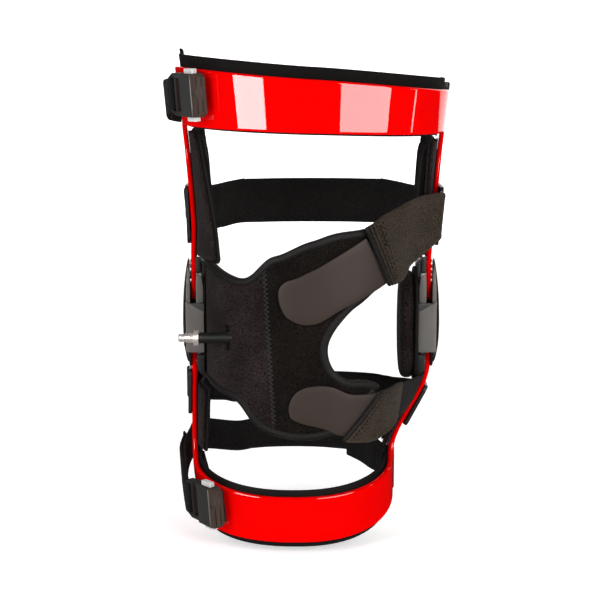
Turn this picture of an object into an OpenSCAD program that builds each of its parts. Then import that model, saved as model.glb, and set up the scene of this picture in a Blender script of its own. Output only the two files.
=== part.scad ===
// Hinged knee brace for a right leg: a rigid frame with a geared hinge on each side of
// the knee, soft liners, a kneecap wrap, straps and two quick-release buckles.
// Millimetres. The origin is the middle of the knee, between the two hinges.
// +X is the inner (medial) side of the leg, -Y is the front, +Z is up.

/* [Uprights] */
// Distance from the middle of the knee to the middle of each upright at the hinge
arm_x = 81.3; // [80:0.1:84]
// Thickness of the frame sheet
frame_t = 3.5; // [3:0.1:4]
// Half width of an upright at the hinge
arm_half = 8; // [7.5:0.1:8]
// Half width of an upright where it meets its band
arm_half_top = 9; // [8:0.5:10]

/* [Thigh band] */
// How far each side flares out from the hinge to the top of the band
thigh_flare = 10.5; // [6:0.5:14]
// Distance from the hinge line to the front of the thigh band
thigh_depth = 84; // [78:1:90]
// Distance from the hinge line to the back of the thigh at its band
thigh_back = 80; // [74:1:90]
// Height of the top edge of the thigh band at the front
thigh_top = 170.5; // [160:0.5:180]
// Height of the bottom edge of the thigh band at the front
thigh_bottom = 136.5; // [130:0.5:142]

/* [Shin band] */
// Distance from the hinge line to the front of the shin band
shin_depth = 62; // [56:1:68]
// Distance from the hinge line to the back of the calf at its band
shin_back = 70; // [62:1:76]
// Distance from the hinge line to the back of the knee
knee_back = 48; // [44:1:52]
// Height of the top edge of the shin band at the front
shin_top = -108; // [-112:0.5:-100]
// Height of the bottom edge of the shin band at the front
shin_bottom = -139.5; // [-145:0.5:-134]
// How far the inner upright curves in towards the calf
shin_inset = 25; // [15:1:28]

/* [Hinges] */
// Half the distance between the two pivots of a hinge
pivot_z = 13; // [12:0.5:14]
// Radius of a pivot pin
pin_r = 3; // [2.5:0.1:3.5]
// Radial running clearance of the gear heads on their pins
pin_gap = 0.05; // [0.02:0.01:0.1]
// Number of teeth that a whole gear head would have
teeth = 20; // [16:1:24]
// Thickness of the steel gear heads
gear_t = 3.4; // [2.5:0.1:3.5]
// Thickness of the inner and outer hinge plates
plate_t = 1.6; // [1.2:0.1:2]
// Radius of the ends of the hinge plates
plate_r = 17; // [16:0.5:18]

/* [Soft parts] */
// Thickness of the band liners
liner_t = 6; // [4:0.5:8]
// How far a liner stands out above the thigh band
liner_proud = 8; // [4:0.5:10]
// Thickness of the kneecap wrap
wrap_t = 4; // [3:0.5:5]
// Width of the straps
strap_w = 32; // [28:1:36]
// Width of the calf straps
calf_strap_w = 24; // [22:1:26]
// Thickness of the straps
strap_t = 2.4; // [2:0.1:3]

/* [Air valve] */
// Radius of the inflation tube
tube_r = 3.6; // [3:0.1:4]
// Radius of the metal valve
valve_r = 3.2; // [2.5:0.1:3.5]

/* [Buckles] */
// Height of a buckle clip
clip_h = 28; // [26:1:34]
// Travel of a squeeze button
button_travel = 1.8; // [1:0.1:2]

/* [Hidden] */

RED = [0.85, 0.02, 0.02];
BLACK = [0.08, 0.08, 0.08];
FOAM = [0.12, 0.12, 0.12];
DARK_GREY = [0.22, 0.21, 0.21];
HOOK_GREY = [0.3, 0.28, 0.27];
STRAP_BROWN = [0.2, 0.18, 0.16];
STEEL = [0.62, 0.62, 0.62];
WHITE = [0.9, 0.9, 0.88];
NICKEL = [0.75, 0.73, 0.7];

fn_fine = 64;
fn_small = 32;

// Cross-sections of the leg are super-ellipses with this exponent
section_power = 2.3;
section_exp = 2 / section_power;

// Faces of the hinge layers, as distances from the middle of the knee
layer_gap = 0.1;
arm_in = arm_x - frame_t / 2;
arm_out = arm_x + frame_t / 2;
gear_out = arm_in - layer_gap / 2;
gear_in = gear_out - gear_t;
inner_plate_out = gear_in - layer_gap;
inner_plate_in = inner_plate_out - plate_t;
outer_plate_in = arm_out + layer_gap;
outer_plate_out = outer_plate_in + plate_t;
cover_in = outer_plate_out + 0.05;
cover_t = 4;
cover_out = cover_in + cover_t;
pin_head_t = 0.9;
pin_head_r = 4.4;

// Gear form
gear_module = 2 * pivot_z / teeth;
gear_backlash = 0.3;
gear_root_r = pivot_z - 1.25 * gear_module;
gear_tip_r = pivot_z + 0.85 * gear_module;

// Ends of the uprights next to the pivots
arm_end_z = pivot_z + pin_r + 1.5;
boss_r = pin_r + 1.2;
bend_start = 45;
tang_top = 46;
tang_rivets = [34.5, 42];
short_tang = 26;
short_rivet_z = 21.5;
short_rivet_y = 4.5;
rivet_r = 2;
rivet_head_r = 3.2;
rivet_head_t = 1;
fit_gap = 0.05;

// ---------------------------------------------------------------- small functions
function spow(v, p) = sign(v) * pow(abs(v), p);
function ease(t) = t <= 0 ? 0 : t >= 1 ? 1 : (1 - cos(180 * t)) / 2;
function lerp(a, b, t) = a + (b - a) * t;
function unit(v) = v / norm(v);

// Point on a leg-shaped section: centre c, half width w, front and back depths, angle phi
// from the front (negative on the outer side), at height z
function section_point(c, w, front, back, phi, z) = [
    c + w * spow(sin(phi), section_exp),
    -(cos(phi) > 0 ? front : back) * spow(cos(phi), section_exp),
    z
];

// Angle at which a section of the given depth reaches the distance y behind the hinge line
function phi_at_y(y, depth) = acos(spow(-y / depth, 1 / section_exp));

// Smooth curve through rows of points
function catmull(a, b, c, d, t) =
    0.5 * (2 * b + (c - a) * t + (2 * a - 5 * b + 4 * c - d) * t * t
        + (3 * b - a - 3 * c + d) * t * t * t);
function smooth_rows(rows, steps) = [
    for (i = [0 : len(rows) - 2], k = [0 : steps - 1])
        catmull(rows[max(i - 1, 0)], rows[i], rows[i + 1], rows[min(i + 2, len(rows) - 1)],
            k / steps),
    rows[len(rows) - 1]
];

// ---------------------------------------------------------------- the leg's outline
function thigh_c(z) = 1.5 * ease((z - bend_start) / 30);
function thigh_w(z) = arm_x + thigh_flare * pow(max(0, z - bend_start) / 125, 1.5);
function thigh_b(z) = lerp(knee_back, thigh_back, ease(z / 150));
function thigh_point(phi, z, off) =
    section_point(thigh_c(z), thigh_w(z) + off, thigh_depth + off, thigh_b(z) + off, phi, z);

function shin_left(z) = arm_x + 0.4 * ease((-z - 28) / 30) - 6 * ease((-z - 88) / 64);
function shin_right(z) = arm_x - shin_inset * ease((-z - 26) / 66);
function shin_c(z) = (shin_right(z) - shin_left(z)) / 2;
function shin_w(z) = (shin_right(z) + shin_left(z)) / 2;
function shin_b(z) = lerp(knee_back, shin_back, ease((-z - 30) / 70));
function shin_point(phi, z, off) =
    section_point(shin_c(z), shin_w(z) + off, shin_depth + off, shin_b(z) + off, phi, z);

// The kneecap wrap lies on a section of its own, which is the same at every height
knee_w = 69;
knee_d = 74;
function knee_point(phi, z, off) =
    section_point(0, knee_w + off, knee_d + off, knee_d + off, phi, z);

// ---------------------------------------------------------------- sheet builder
// Closed sheet over a grid of cells. outer(i, j) and inner(i, j) give the two faces, and
// keep(i, j) says which cells exist; i counts along the sheet and j counts down it.
module grid_sheet(cols, rows, outer, inner, keep) {
    n = cols + 1;
    back = n * (rows + 1);
    pts = concat(
        [for (j = [0 : rows], i = [0 : cols]) outer(i, j)],
        [for (j = [0 : rows], i = [0 : cols]) inner(i, j)]
    );
    has = function(i, j) i >= 0 && i < cols && j >= 0 && j < rows && keep(i, j);
    quads = [
        for (j = [0 : rows - 1], i = [0 : cols - 1])
            if (keep(i, j))
                let (
                    a = j * n + i,
                    b = a + 1,
                    d = a + n,
                    c = d + 1,
                    face = [a, b, c, d]
                )
                each concat(
                    [face, [a + back, d + back, c + back, b + back]],
                    has(i, j - 1) ? [] : [[a, a + back, b + back, b]],
                    has(i, j + 1) ? [] : [[d, c, c + back, d + back]],
                    has(i - 1, j) ? [] : [[a, d, d + back, a + back]],
                    has(i + 1, j) ? [] : [[c, b, b + back, c + back]]
                )
    ];
    polyhedron(pts, [for (q = quads) each [[q[0], q[1], q[2]], [q[0], q[2], q[3]]]]);
}

// Closed sheet with every cell present
module full_sheet(cols, rows, outer, inner) {
    grid_sheet(cols, rows, outer, inner, function(i, j) true);
}

// Ribbon laid through rows of points; each row runs across the ribbon, top first.
// The ribbon thickens outwards from the rows by t.
module ribbon(rows, t, steps = 3) {
    g = smooth_rows(rows, steps);
    cols = len(g) - 1;
    across = len(g[0]) - 1;
    normal = function(i, j) unit(cross(
        g[i][min(j + 1, across)] - g[i][max(j - 1, 0)],
        g[min(i + 1, cols)][j] - g[max(i - 1, 0)][j]
    ));
    full_sheet(cols, across,
        function(i, j) g[i][j] + t * normal(i, j),
        function(i, j) g[i][j]);
}

// Row of points across a ribbon, from [phi, z] at its top edge to [phi, z] at its bottom
function knee_row(top, bottom, off) = [
    for (k = [0 : 3]) knee_point(lerp(top[0], bottom[0], k / 3), lerp(top[1], bottom[1], k / 3), off)
];
function free_row(top, bottom) = [for (k = [0 : 3]) lerp(top, bottom, k / 3)];
function thigh_row(phi, z, width, off) = [
    for (k = [0 : 3]) thigh_point(phi, z + width * (0.5 - k / 3), off)
];
function shin_row(phi, z, width, off) = [
    for (k = [0 : 3]) shin_point(phi, z + width * (0.5 - k / 3), off)
];

// Children are drawn on the +X side, and mirrored for the outer side of the knee
module on_side(side) {
    if (side > 0)
        children();
    else
        mirror([1, 0, 0]) children();
}

// Cylinder along X from x0 to x1
module x_rod(x0, x1, r, y = 0, z = 0, fn = fn_small) {
    translate([x0, y, z]) rotate([0, 90, 0]) cylinder(h = x1 - x0, r = r, $fn = fn);
}

// Flat shape drawn in the (Y, Z) plane and extruded along X from x0 to x1
module x_plate(x0, x1) {
    translate([x0, 0, 0]) rotate([90, 0, 90]) linear_extrude(x1 - x0) children();
}

// ---------------------------------------------------------------- frames
band_back_y = 15;
fillet_r = 15;
back_fillet_r = 6;
corner_r = 7;
band_rows = 4;
front_cols = 23;

// Distances behind the hinge line of the columns on one side, from the back to the front
side_ys = [15, 13, 11, 9, 4.5, 0, -4.5, -9, -10, -11.5, -14, -18, -24];
side_count = len(side_ys);

// Angles of all columns of a band: outer side, front, then inner side
function band_phis(depth) =
    let (
        side = [for (y = side_ys) phi_at_y(y, depth)],
        front = side[side_count - 1],
        middle = [for (k = [1 : front_cols]) lerp(-front, front, k / (front_cols + 1))],
        inner = [for (k = [side_count - 1 : -1 : 0]) side[k]]
    )
    concat([for (p = side) -p], middle, inner);

// Rounded corner: how far an edge falls at the distance s from the end of the band
function corner_drop(s) =
    s >= corner_r ? 0 : corner_r - sqrt(max(0, corner_r * corner_r - pow(corner_r - s, 2)));
// Fillet: how far the band's edge reaches along an upright at the distance s from it
function fillet_reach(s, r) = s <= 0 ? r : s >= r ? 0 : r - sqrt(r * r - pow(r - s, 2));
function reach_at(y) =
    y >= arm_half_top ? fillet_reach(y - arm_half_top, back_fillet_r)
        : y <= -arm_half_top ? fillet_reach(-y - arm_half_top, fillet_r)
        : fillet_r;

// A whole frame. edge(phi) gives the far edge of the band, near(phi) the edge that meets
// the uprights, arm_zs the heights of the rows down each upright, and down is -1 where
// the uprights hang below the band and +1 where they stand above it.
module frame_sheet(phis, point, far, near, arm_zs, down) {
    last = len(phis) - 1;
    rows = band_rows + len(arm_zs);
    y_of = function(i) i < side_count ? side_ys[i]
        : i > last - side_count ? side_ys[last - i] : -100;
    half_of = function(z) lerp(arm_half, arm_half_top, ease((abs(z) - 40) / 60));
    on_arm = function(i) abs(y_of(i)) <= arm_half_top;
    place = function(i, j, off)
        let (phi = phis[i], y = y_of(i))
        j <= band_rows
            ? let (
                top = far(phi) + down * corner_drop(abs(band_back_y - y)) * (y > 0 ? 1 : 0),
                low = near(phi) + down * (y < -50 ? 0 : reach_at(y)),
                z = lerp(top, low, j / band_rows)
            ) point(phi, z, off)
            : let (
                z = arm_zs[j - band_rows - 1],
                side = phi < 0 ? -1 : 1,
                flat = point(side * 90, z, off),
                yy = on_arm(i) ? y * half_of(z) / arm_half_top : y
            ) [flat[0], yy, z];
    outer = down < 0 ? function(i, j) place(i, j, frame_t / 2)
        : function(i, j) place(i, j, -frame_t / 2);
    inner = down < 0 ? function(i, j) place(i, j, -frame_t / 2)
        : function(i, j) place(i, j, frame_t / 2);
    grid_sheet(last, rows, outer, inner,
        function(i, j) j < band_rows || (on_arm(i) && on_arm(i + 1)));
}

function thigh_far(phi) = thigh_top - 8 * sin(phi);
function thigh_near(phi) = thigh_bottom - 2.8 * sin(phi);
thigh_arm_zs = [112, 100, 88, 76, 66, 56, 50, bend_start, 30, arm_end_z];

function shin_far(phi) = shin_bottom + (phi > 0 ? 18 : 8) * (1 - cos(phi));
function shin_near(phi) = shin_top + 15.5 * (1 - cos(phi));
shin_arm_zs = [-72, -66, -60, -54, -48, -42, -36, -31, -26, -arm_end_z];

module thigh_frame() {
    color(RED) difference() {
        frame_sheet(band_phis(thigh_depth), function(p, z, o) thigh_point(p, z, o),
            function(p) thigh_far(p), function(p) thigh_near(p), thigh_arm_zs, -1);
        for (side = [-1, 1], z = tang_rivets)
            on_side(side) x_rod(arm_x - 5, arm_x + 5, rivet_r + fit_gap, 0, z);
    }
}

module shin_frame() {
    color(RED) difference() {
        frame_sheet(band_phis(shin_depth), function(p, z, o) shin_point(p, z, o),
            function(p) shin_far(p), function(p) shin_near(p), shin_arm_zs, 1);
        for (side = [-1, 1], y = [-short_rivet_y, short_rivet_y])
            on_side(side) x_rod(arm_x - 5, arm_x + 5, rivet_r + fit_gap, y, -short_rivet_z);
    }
}

// ---------------------------------------------------------------- liners and pads
liner_cols = 44;
liner_back_phi = 97;
liner_gap = 0.45;

module thigh_liner() {
    outer_off = -frame_t / 2 - liner_gap;
    phi_of = function(i) lerp(-liner_back_phi, liner_back_phi, i / liner_cols);
    z_of = function(i, j) lerp(thigh_far(phi_of(i)) + liner_proud,
        thigh_near(phi_of(i)) - 1, j / 4);
    color(FOAM) full_sheet(liner_cols, 4,
        function(i, j) thigh_point(phi_of(i), z_of(i, j), outer_off),
        function(i, j) thigh_point(phi_of(i), z_of(i, j), outer_off - liner_t));
}

module shin_liner() {
    outer_off = -frame_t / 2 - liner_gap;
    phi_of = function(i) lerp(-liner_back_phi, liner_back_phi, i / liner_cols);
    z_of = function(i, j) lerp(shin_near(phi_of(i)) + 4, shin_far(phi_of(i)) - 4, j / 4);
    color(FOAM) full_sheet(liner_cols, 4,
        function(i, j) shin_point(phi_of(i), z_of(i, j), outer_off),
        function(i, j) shin_point(phi_of(i), z_of(i, j), outer_off - liner_t));
}

// Pad inside an upright: a curved sheet between two heights. front0 and front1 are the
// angles of its front edge at its top and bottom.
module side_pad(side, point, z0, z1, front0, front1, back_phi, off, t) {
    cols = 8;
    rows = 6;
    phi_of = function(i, j) side > 0
        ? lerp(lerp(front0, front1, j / rows), back_phi, i / cols)
        : -lerp(back_phi, lerp(front0, front1, j / rows), i / cols);
    z_of = function(j) lerp(z0, z1, j / rows);
    full_sheet(cols, rows,
        function(i, j) point(phi_of(i, j), z_of(j), off),
        function(i, j) point(phi_of(i, j), z_of(j), off - t));
}

pad_top_z = 136;
pad_low_z = 48.5;

module lateral_thigh_pad() {
    color(FOAM) side_pad(-1, function(p, z, o) thigh_point(p, z, o),
        pad_top_z, pad_low_z, 67, 50, 112, -4.5, 6);
}

module medial_thigh_pad() {
    color(FOAM) side_pad(1, function(p, z, o) thigh_point(p, z, o),
        pad_top_z - 5.5, pad_low_z, 68, 76, 112, -4.5, 6);
}

module lateral_shin_pad() {
    color(FOAM) side_pad(-1, function(p, z, o) shin_point(p, z, o),
        -40, -86, 62, 66, 108, -4, 5);
}

module medial_shin_pad() {
    color(FOAM) side_pad(1, function(p, z, o) shin_point(p, z, o),
        -52, -84, 72, 72, 108, -4.5, 5);
}

// ---------------------------------------------------------------- hinges
// Point on a gear's outline; a is clockwise from the tang
function gear_point(r, a) = [r * sin(a), r * cos(a)];

// Flank, tip and flank of the tooth at the angle a, with involute-like straight flanks
function gear_tooth(a) =
    let (
        half = 90 / teeth,
        trim = gear_backlash / pivot_z * 90 / PI,
        root_half = half * 1.5 - trim,
        tip_half = half * 0.42
    )
    [
        gear_point(gear_root_r, a - root_half),
        gear_point(pivot_z, a - half + trim),
        gear_point(gear_tip_r, a - tip_half),
        gear_point(gear_tip_r, a + tip_half),
        gear_point(pivot_z, a + half - trim),
        gear_point(gear_root_r, a + root_half)
    ];

// Gear head in the (Y, Z) plane with its centre at the origin and its tang up.
// phase is 0 where a tooth points at the other gear and 0.5 where a gap does.
module gear_outline(tang, phase) {
    pitch = 360 / teeth;
    tooth_count = 6;
    first = 180 - (tooth_count - 2 + phase) * pitch;
    last = first + (tooth_count - 1) * pitch;
    tang_edge = asin(arm_half / gear_root_r);
    arc_step = 6;
    difference() {
        polygon(concat(
            [[-arm_half, tang], [arm_half, tang]],
            [for (a = [tang_edge : arc_step : first - pitch / 2]) gear_point(gear_root_r, a)],
            [for (k = [0 : tooth_count - 1]) each gear_tooth(first + k * pitch)],
            [for (a = [last + pitch / 2 : arc_step : 360 - tang_edge])
                gear_point(gear_root_r, a)],
            [gear_point(gear_root_r, 360 - tang_edge)]
        ));
        circle(r = pin_r + pin_gap, $fn = fn_fine);
    }
}

module gear_head(side, upper) {
    tang = (upper ? tang_top : short_tang) - pivot_z;
    color(STEEL) on_side(side) difference() {
        translate([gear_in, 0, upper ? pivot_z : -pivot_z])
            rotate([90, 0, 90])
                linear_extrude(gear_t)
                    scale([1, upper ? 1 : -1]) gear_outline(tang, upper ? 0 : 0.5);
        if (upper)
            for (z = tang_rivets)
                x_rod(gear_in - 1, gear_out + 1, rivet_r + fit_gap, 0, z);
        else
            for (y = [-short_rivet_y, short_rivet_y])
                x_rod(gear_in - 1, gear_out + 1, rivet_r + fit_gap, y, -short_rivet_z);
    }
}

module lateral_upper_gear_head() {
    gear_head(-1, true);
}

module lateral_lower_gear_head() {
    gear_head(-1, false);
}

module medial_upper_gear_head() {
    gear_head(1, true);
}

module medial_lower_gear_head() {
    gear_head(1, false);
}

// Headed rivets through the long upper tangs
module thigh_arm_rivets() {
    color(STEEL) for (side = [-1, 1], z = tang_rivets)
        on_side(side) {
            x_rod(gear_in, arm_out, rivet_r, 0, z);
            x_rod(gear_in - rivet_head_t, gear_in, rivet_head_r, 0, z);
            x_rod(arm_out, arm_out + rivet_head_t, rivet_head_r, 0, z);
        }
}

// Flush rivets through the short lower tangs
module shin_arm_rivets() {
    color(STEEL) for (side = [-1, 1], y = [-short_rivet_y, short_rivet_y])
        on_side(side) x_rod(gear_in, arm_out, rivet_r, y, -short_rivet_z);
}

module plate_outline(r) {
    difference() {
        union() {
            for (s = [-1, 1])
                translate([0, s * pivot_z]) circle(r = r, $fn = fn_fine);
            square([2 * r, 2 * pivot_z], center = true);
        }
        for (s = [-1, 1])
            translate([0, s * pivot_z]) circle(r = pin_r, $fn = fn_fine);
    }
}

// Screw holes of the extension stops, ahead of the tangs
stop_y = -11;
stop_z = 25;
stop_r = 2.4;

module stop_holes() {
    for (s = [-1, 1])
        translate([stop_y, s * stop_z]) circle(r = 1, $fn = fn_small);
}

module inner_plate(side) {
    color(BLACK) on_side(side) x_plate(inner_plate_in, inner_plate_out) difference() {
        plate_outline(plate_r);
        stop_holes();
    }
}

module outer_plate(side) {
    color(BLACK) on_side(side) x_plate(outer_plate_in, outer_plate_out) plate_outline(plate_r);
}

module lateral_inner_plate() {
    inner_plate(-1);
}

module lateral_outer_plate() {
    outer_plate(-1);
}

module medial_inner_plate() {
    inner_plate(1);
}

module medial_outer_plate() {
    outer_plate(1);
}

// Housing: front and back rims around the plates, and a web with bosses between them
rim_in_y = plate_r + 0.1;
rim_t = 2.4;
front_rim_z = 17;
back_rim_z = 6.5;
web_z = 6.5;

module hinge_housing(side) {
    web_in = gear_out + layer_gap;
    web_out = outer_plate_in - layer_gap / 2;
    rim_lip = 0.9;
    color(DARK_GREY) on_side(side) difference() {
        union() {
            x_plate(web_in, web_out) {
                square([2 * rim_in_y + 1, 2 * web_z], center = true);
                for (s = [-1, 1])
                    translate([0, s * pivot_z]) circle(r = boss_r, $fn = fn_fine);
                square([2 * boss_r, 2 * pivot_z], center = true);
            }
            x_plate(inner_plate_in - rim_lip, cover_in - 0.05) {
                translate([-rim_in_y - rim_t, -front_rim_z])
                    square([rim_t, 2 * front_rim_z]);
                translate([rim_in_y, -back_rim_z])
                    square([rim_t, 2 * back_rim_z]);
            }
        }
        for (s = [-1, 1])
            x_rod(web_in - 1, web_out + 1, pin_r, 0, s * pivot_z, fn_fine);
    }
}

module lateral_hinge_housing() {
    hinge_housing(-1);
}

module medial_hinge_housing() {
    hinge_housing(1);
}

module pivot_pins(side) {
    screw_bore = 1.2;
    color(STEEL) on_side(side) for (s = [-1, 1])
        difference() {
            union() {
                x_rod(inner_plate_in, outer_plate_out, pin_r, 0, s * pivot_z, fn_fine);
                x_rod(inner_plate_in - pin_head_t, inner_plate_in, pin_head_r, 0,
                    s * pivot_z, fn_fine);
            }
            x_rod(outer_plate_out - 6, outer_plate_out + 1, screw_bore, 0, s * pivot_z);
        }
}

module lateral_pivot_pins() {
    pivot_pins(-1);
}

module medial_pivot_pins() {
    pivot_pins(1);
}

// Stop blocks ahead of the tangs, held by studs in the inner plate
module extension_stops(side) {
    color(STEEL) on_side(side) for (s = [-1, 1]) {
        x_rod(inner_plate_in, inner_plate_out, 1, stop_y, s * stop_z);
        x_rod(inner_plate_out, gear_out - 0.2, stop_r, stop_y, s * stop_z);
    }
}

module lateral_extension_stops() {
    extension_stops(-1);
}

module medial_extension_stops() {
    extension_stops(1);
}

// Cover: a domed teardrop shell, narrow at the top
cover_top_z = 46;
cover_low_z = -27;
cover_r = 19.5;
screw_head_r = 2.2;
screw_r = 1.2;

module cover_profile(shrink) {
    low_r = cover_r - shrink;
    top_r = 8 - shrink / 2;
    translate([0, cover_low_z + cover_r]) circle(r = low_r, $fn = 48);
    translate([0, cover_top_z - 8 - shrink]) circle(r = top_r, $fn = 32);
}

module hinge_cover(side) {
    edge_t = 1.4;
    head_seat = cover_out - 1.5;
    color(DARK_GREY) on_side(side) difference() {
        hull() {
            x_plate(cover_in, cover_in + edge_t) cover_profile(0);
            x_plate(cover_in + 1, cover_out) cover_profile(7);
        }
        for (s = [-1, 1]) {
            x_rod(cover_in - 1, cover_out + 1, screw_r + fit_gap, 0, s * pivot_z);
            x_rod(head_seat, cover_out + 1, screw_head_r + fit_gap, 0, s * pivot_z);
        }
    }
}

module lateral_hinge_cover() {
    hinge_cover(-1);
}

module medial_hinge_cover() {
    hinge_cover(1);
}

module cover_screws(side) {
    head_seat = cover_out - 1.5;
    color(STEEL) on_side(side) for (s = [-1, 1]) {
        x_rod(outer_plate_out - 5, head_seat, screw_r, 0, s * pivot_z);
        x_rod(head_seat, head_seat + 1.3, screw_head_r, 0, s * pivot_z);
    }
}

module lateral_cover_screws() {
    cover_screws(-1);
}

module medial_cover_screws() {
    cover_screws(1);
}

// ---------------------------------------------------------------- condyle pads and air
pad_half_y = 27;
pad_half_z = 41;

// Oval cushion with softened edges between two distances from the middle of the knee
module oval_pad(x0, x1, half_y, half_z) {
    edge = 2.5;
    hull() {
        x_plate(x0, x1) scale_oval(half_y - edge, half_z - edge);
        x_plate(x0 + edge, x1 - edge) scale_oval(half_y, half_z);
    }
}

// Oval made of two circles and the space between them
module scale_oval(half_y, half_z) {
    hull() for (s = [-1, 1])
        translate([0, s * (half_z - half_y)]) circle(r = half_y, $fn = 40);
}

bladder_in = 61.6;
bladder_out = 65.8;

module lateral_condyle_pad() {
    color(FOAM) on_side(-1) oval_pad(55, bladder_in - 0.1, pad_half_y, pad_half_z);
}

module medial_condyle_pad() {
    color(FOAM) on_side(1)
        translate([0, -2, 0]) oval_pad(60, inner_plate_in - pin_head_t - 0.1, pad_half_y, pad_half_z);
}

module air_bladder() {
    color(BLACK) on_side(-1) x_plate(bladder_in, bladder_out) scale_oval(24, 36);
}

// The tube comes out of a slit in the wrap and points straight out to the side
tube_y = -55;
tube_z = -0.5;
tube_start_x = -53;
tube_end_x = -75;
ferrule_t = 3.6;
ferrule_r = 5.4;
valve_tip_x = -88.6;
tip_len = 4.2;
spigot_r = 1.8;

module inflation_tube() {
    inner_r = tube_r - 1.2;
    color(BLACK) difference() {
        union() {
            translate([tube_end_x, tube_y, tube_z]) rotate([0, 90, 0])
                cylinder(h = tube_start_x - tube_end_x + 2, r = tube_r, $fn = fn_small);
            translate([tube_start_x + 2, tube_y, tube_z]) sphere(r = tube_r, $fn = fn_small);
        }
        translate([tube_end_x - 1, tube_y, tube_z]) rotate([0, 90, 0])
            cylinder(h = 9, r = spigot_r + fit_gap, $fn = fn_small);
    }
}

module valve_ferrule() {
    color(NICKEL) translate([tube_end_x - 0.05 - ferrule_t, tube_y, tube_z]) rotate([0, 90, 0])
        difference() {
            cylinder(h = ferrule_t, r = ferrule_r, $fn = fn_small);
            translate([0, 0, -1]) cylinder(h = ferrule_t + 2, r = spigot_r + fit_gap, $fn = fn_small);
        }
}

module valve_stem() {
    body_end = tube_end_x - 0.1 - ferrule_t;
    color(NICKEL) {
        translate([valve_tip_x + tip_len, tube_y, tube_z]) rotate([0, 90, 0])
            cylinder(h = body_end - valve_tip_x - tip_len, r = valve_r, $fn = fn_small);
        translate([valve_tip_x, tube_y, tube_z]) rotate([0, 90, 0])
            cylinder(h = tip_len, r = valve_r - 0.6, $fn = fn_small);
        translate([body_end, tube_y, tube_z]) rotate([0, 90, 0])
            cylinder(h = 10, r = spigot_r, $fn = fn_small);
    }
}

// ---------------------------------------------------------------- kneecap wrap
// Edges of the wrap as heights over the angle: the top edge, the bottom edge and the two
// edges of the opening around the kneecap, which starts at gap_phi
wrap_top = [[-100, 44], [-70, 47], [-50, 42], [-38, 40], [-30, 43], [-20, 54], [-12, 58],
    [0, 66], [10, 71], [23, 73]];
wrap_low = [[-100, -34], [-70, -36], [-56, -38.5], [-46, -40], [-38, -44], [-29, -55],
    [-20, -61], [-10, -64], [0, -64.5], [12, -60]];
gap_high = [[5.8, -4], [6.5, 1], [9, 8], [13, 15], [18, 21.5], [24, 26.5]];
gap_low = [[5.8, -6], [6.5, -12], [9, -19], [13, -23.5], [18, -26.2], [24, -26.6]];
gap_phi = 5.8;
wrap_phis = [-98, -92, -86, -80, -74, -68, -62, -56, -50, -46, -42, -38, -34, -30, -26, -22,
    -18, -14, -10, -6, -2, 2, gap_phi, 6.5, 8, 10, 13, 16, 20, 24];
branch_rows = 4;

module kneecap_wrap() {
    last = len(wrap_phis) - 1;
    z_of = function(i, j)
        let (phi = wrap_phis[i], high = lookup(phi, gap_high), low = lookup(phi, gap_low))
        j <= branch_rows ? lerp(lookup(phi, wrap_top), high, j / branch_rows)
            : lerp(low, lookup(phi, wrap_low), (j - branch_rows - 1) / branch_rows);
    color(BLACK) difference() {
        grid_sheet(last, 2 * branch_rows + 1,
            function(i, j) knee_point(wrap_phis[i], z_of(i, j), wrap_t),
            function(i, j) knee_point(wrap_phis[i], z_of(i, j), 0),
            function(i, j) j != branch_rows || wrap_phis[i] < gap_phi);
        translate([tube_start_x - 9, tube_y, tube_z]) rotate([0, 90, 0])
            cylinder(h = 16, r = tube_r + 0.6, $fn = fn_small);
    }
}

tab_off = wrap_t + 0.6;
tab_t = 2;

module upper_hook_tab() {
    color(HOOK_GREY) ribbon([
        knee_row([-14, 34], [-13, 24], tab_off),
        knee_row([-11, 40], [-9, 16], tab_off),
        knee_row([-4, 44], [0, 12.5], tab_off),
        knee_row([6, 53.5], [12, 22], tab_off),
        knee_row([15, 61], [25, 30], tab_off),
        knee_row([25, 68.5], [39.5, 38.5], tab_off)
    ], tab_t);
}

module lower_hook_tab() {
    color(HOOK_GREY) ribbon([
        knee_row([-9, -41], [-8.5, -49], tab_off),
        knee_row([-6, -33], [-5, -52.5], tab_off),
        knee_row([0, -28.5], [0, -55], tab_off),
        knee_row([8, -29], [6, -58], tab_off),
        knee_row([18, -34.5], [10, -61], tab_off),
        knee_row([36, -35], [14.5, -62.5], tab_off)
    ], tab_t);
}

strap_gap_phi = 1.2;

// From the upper hook tab across the front of the knee to the inner upright's anchor
module upper_kneecap_strap() {
    color(STRAP_BROWN) ribbon([
        knee_row([25 + strap_gap_phi, 71.5], [40 + strap_gap_phi, 37], tab_off),
        knee_row([33, 79], [49, 38], tab_off),
        knee_row([43, 85.5], [57, 43], tab_off),
        free_row([63, -50, 90], [66, -41, 47]),
        free_row([73, -36, 92.5], [74.5, -32, 52.5]),
        free_row([82.2, -24, 93.5], [81.5, -24, 58.5])
    ], strap_t);
}

// From the lower hook tab to the inside of the inner shin upright
module lower_kneecap_strap() {
    color(STRAP_BROWN) ribbon([
        knee_row([37 + strap_gap_phi, -33.5], [15 + strap_gap_phi, -66.5], tab_off),
        knee_row([43, -32], [31, -67], tab_off - 0.5),
        knee_row([50, -31.5], [44, -62], tab_off - 2),
        free_row([60.5, -44, -32.5], [56.5, -44, -58.5])
    ], strap_t);
}

// ---------------------------------------------------------------- strap anchors and loops
anchor_t = 2.2;
slot_w = 5;
slot_margin = 2;

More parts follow.
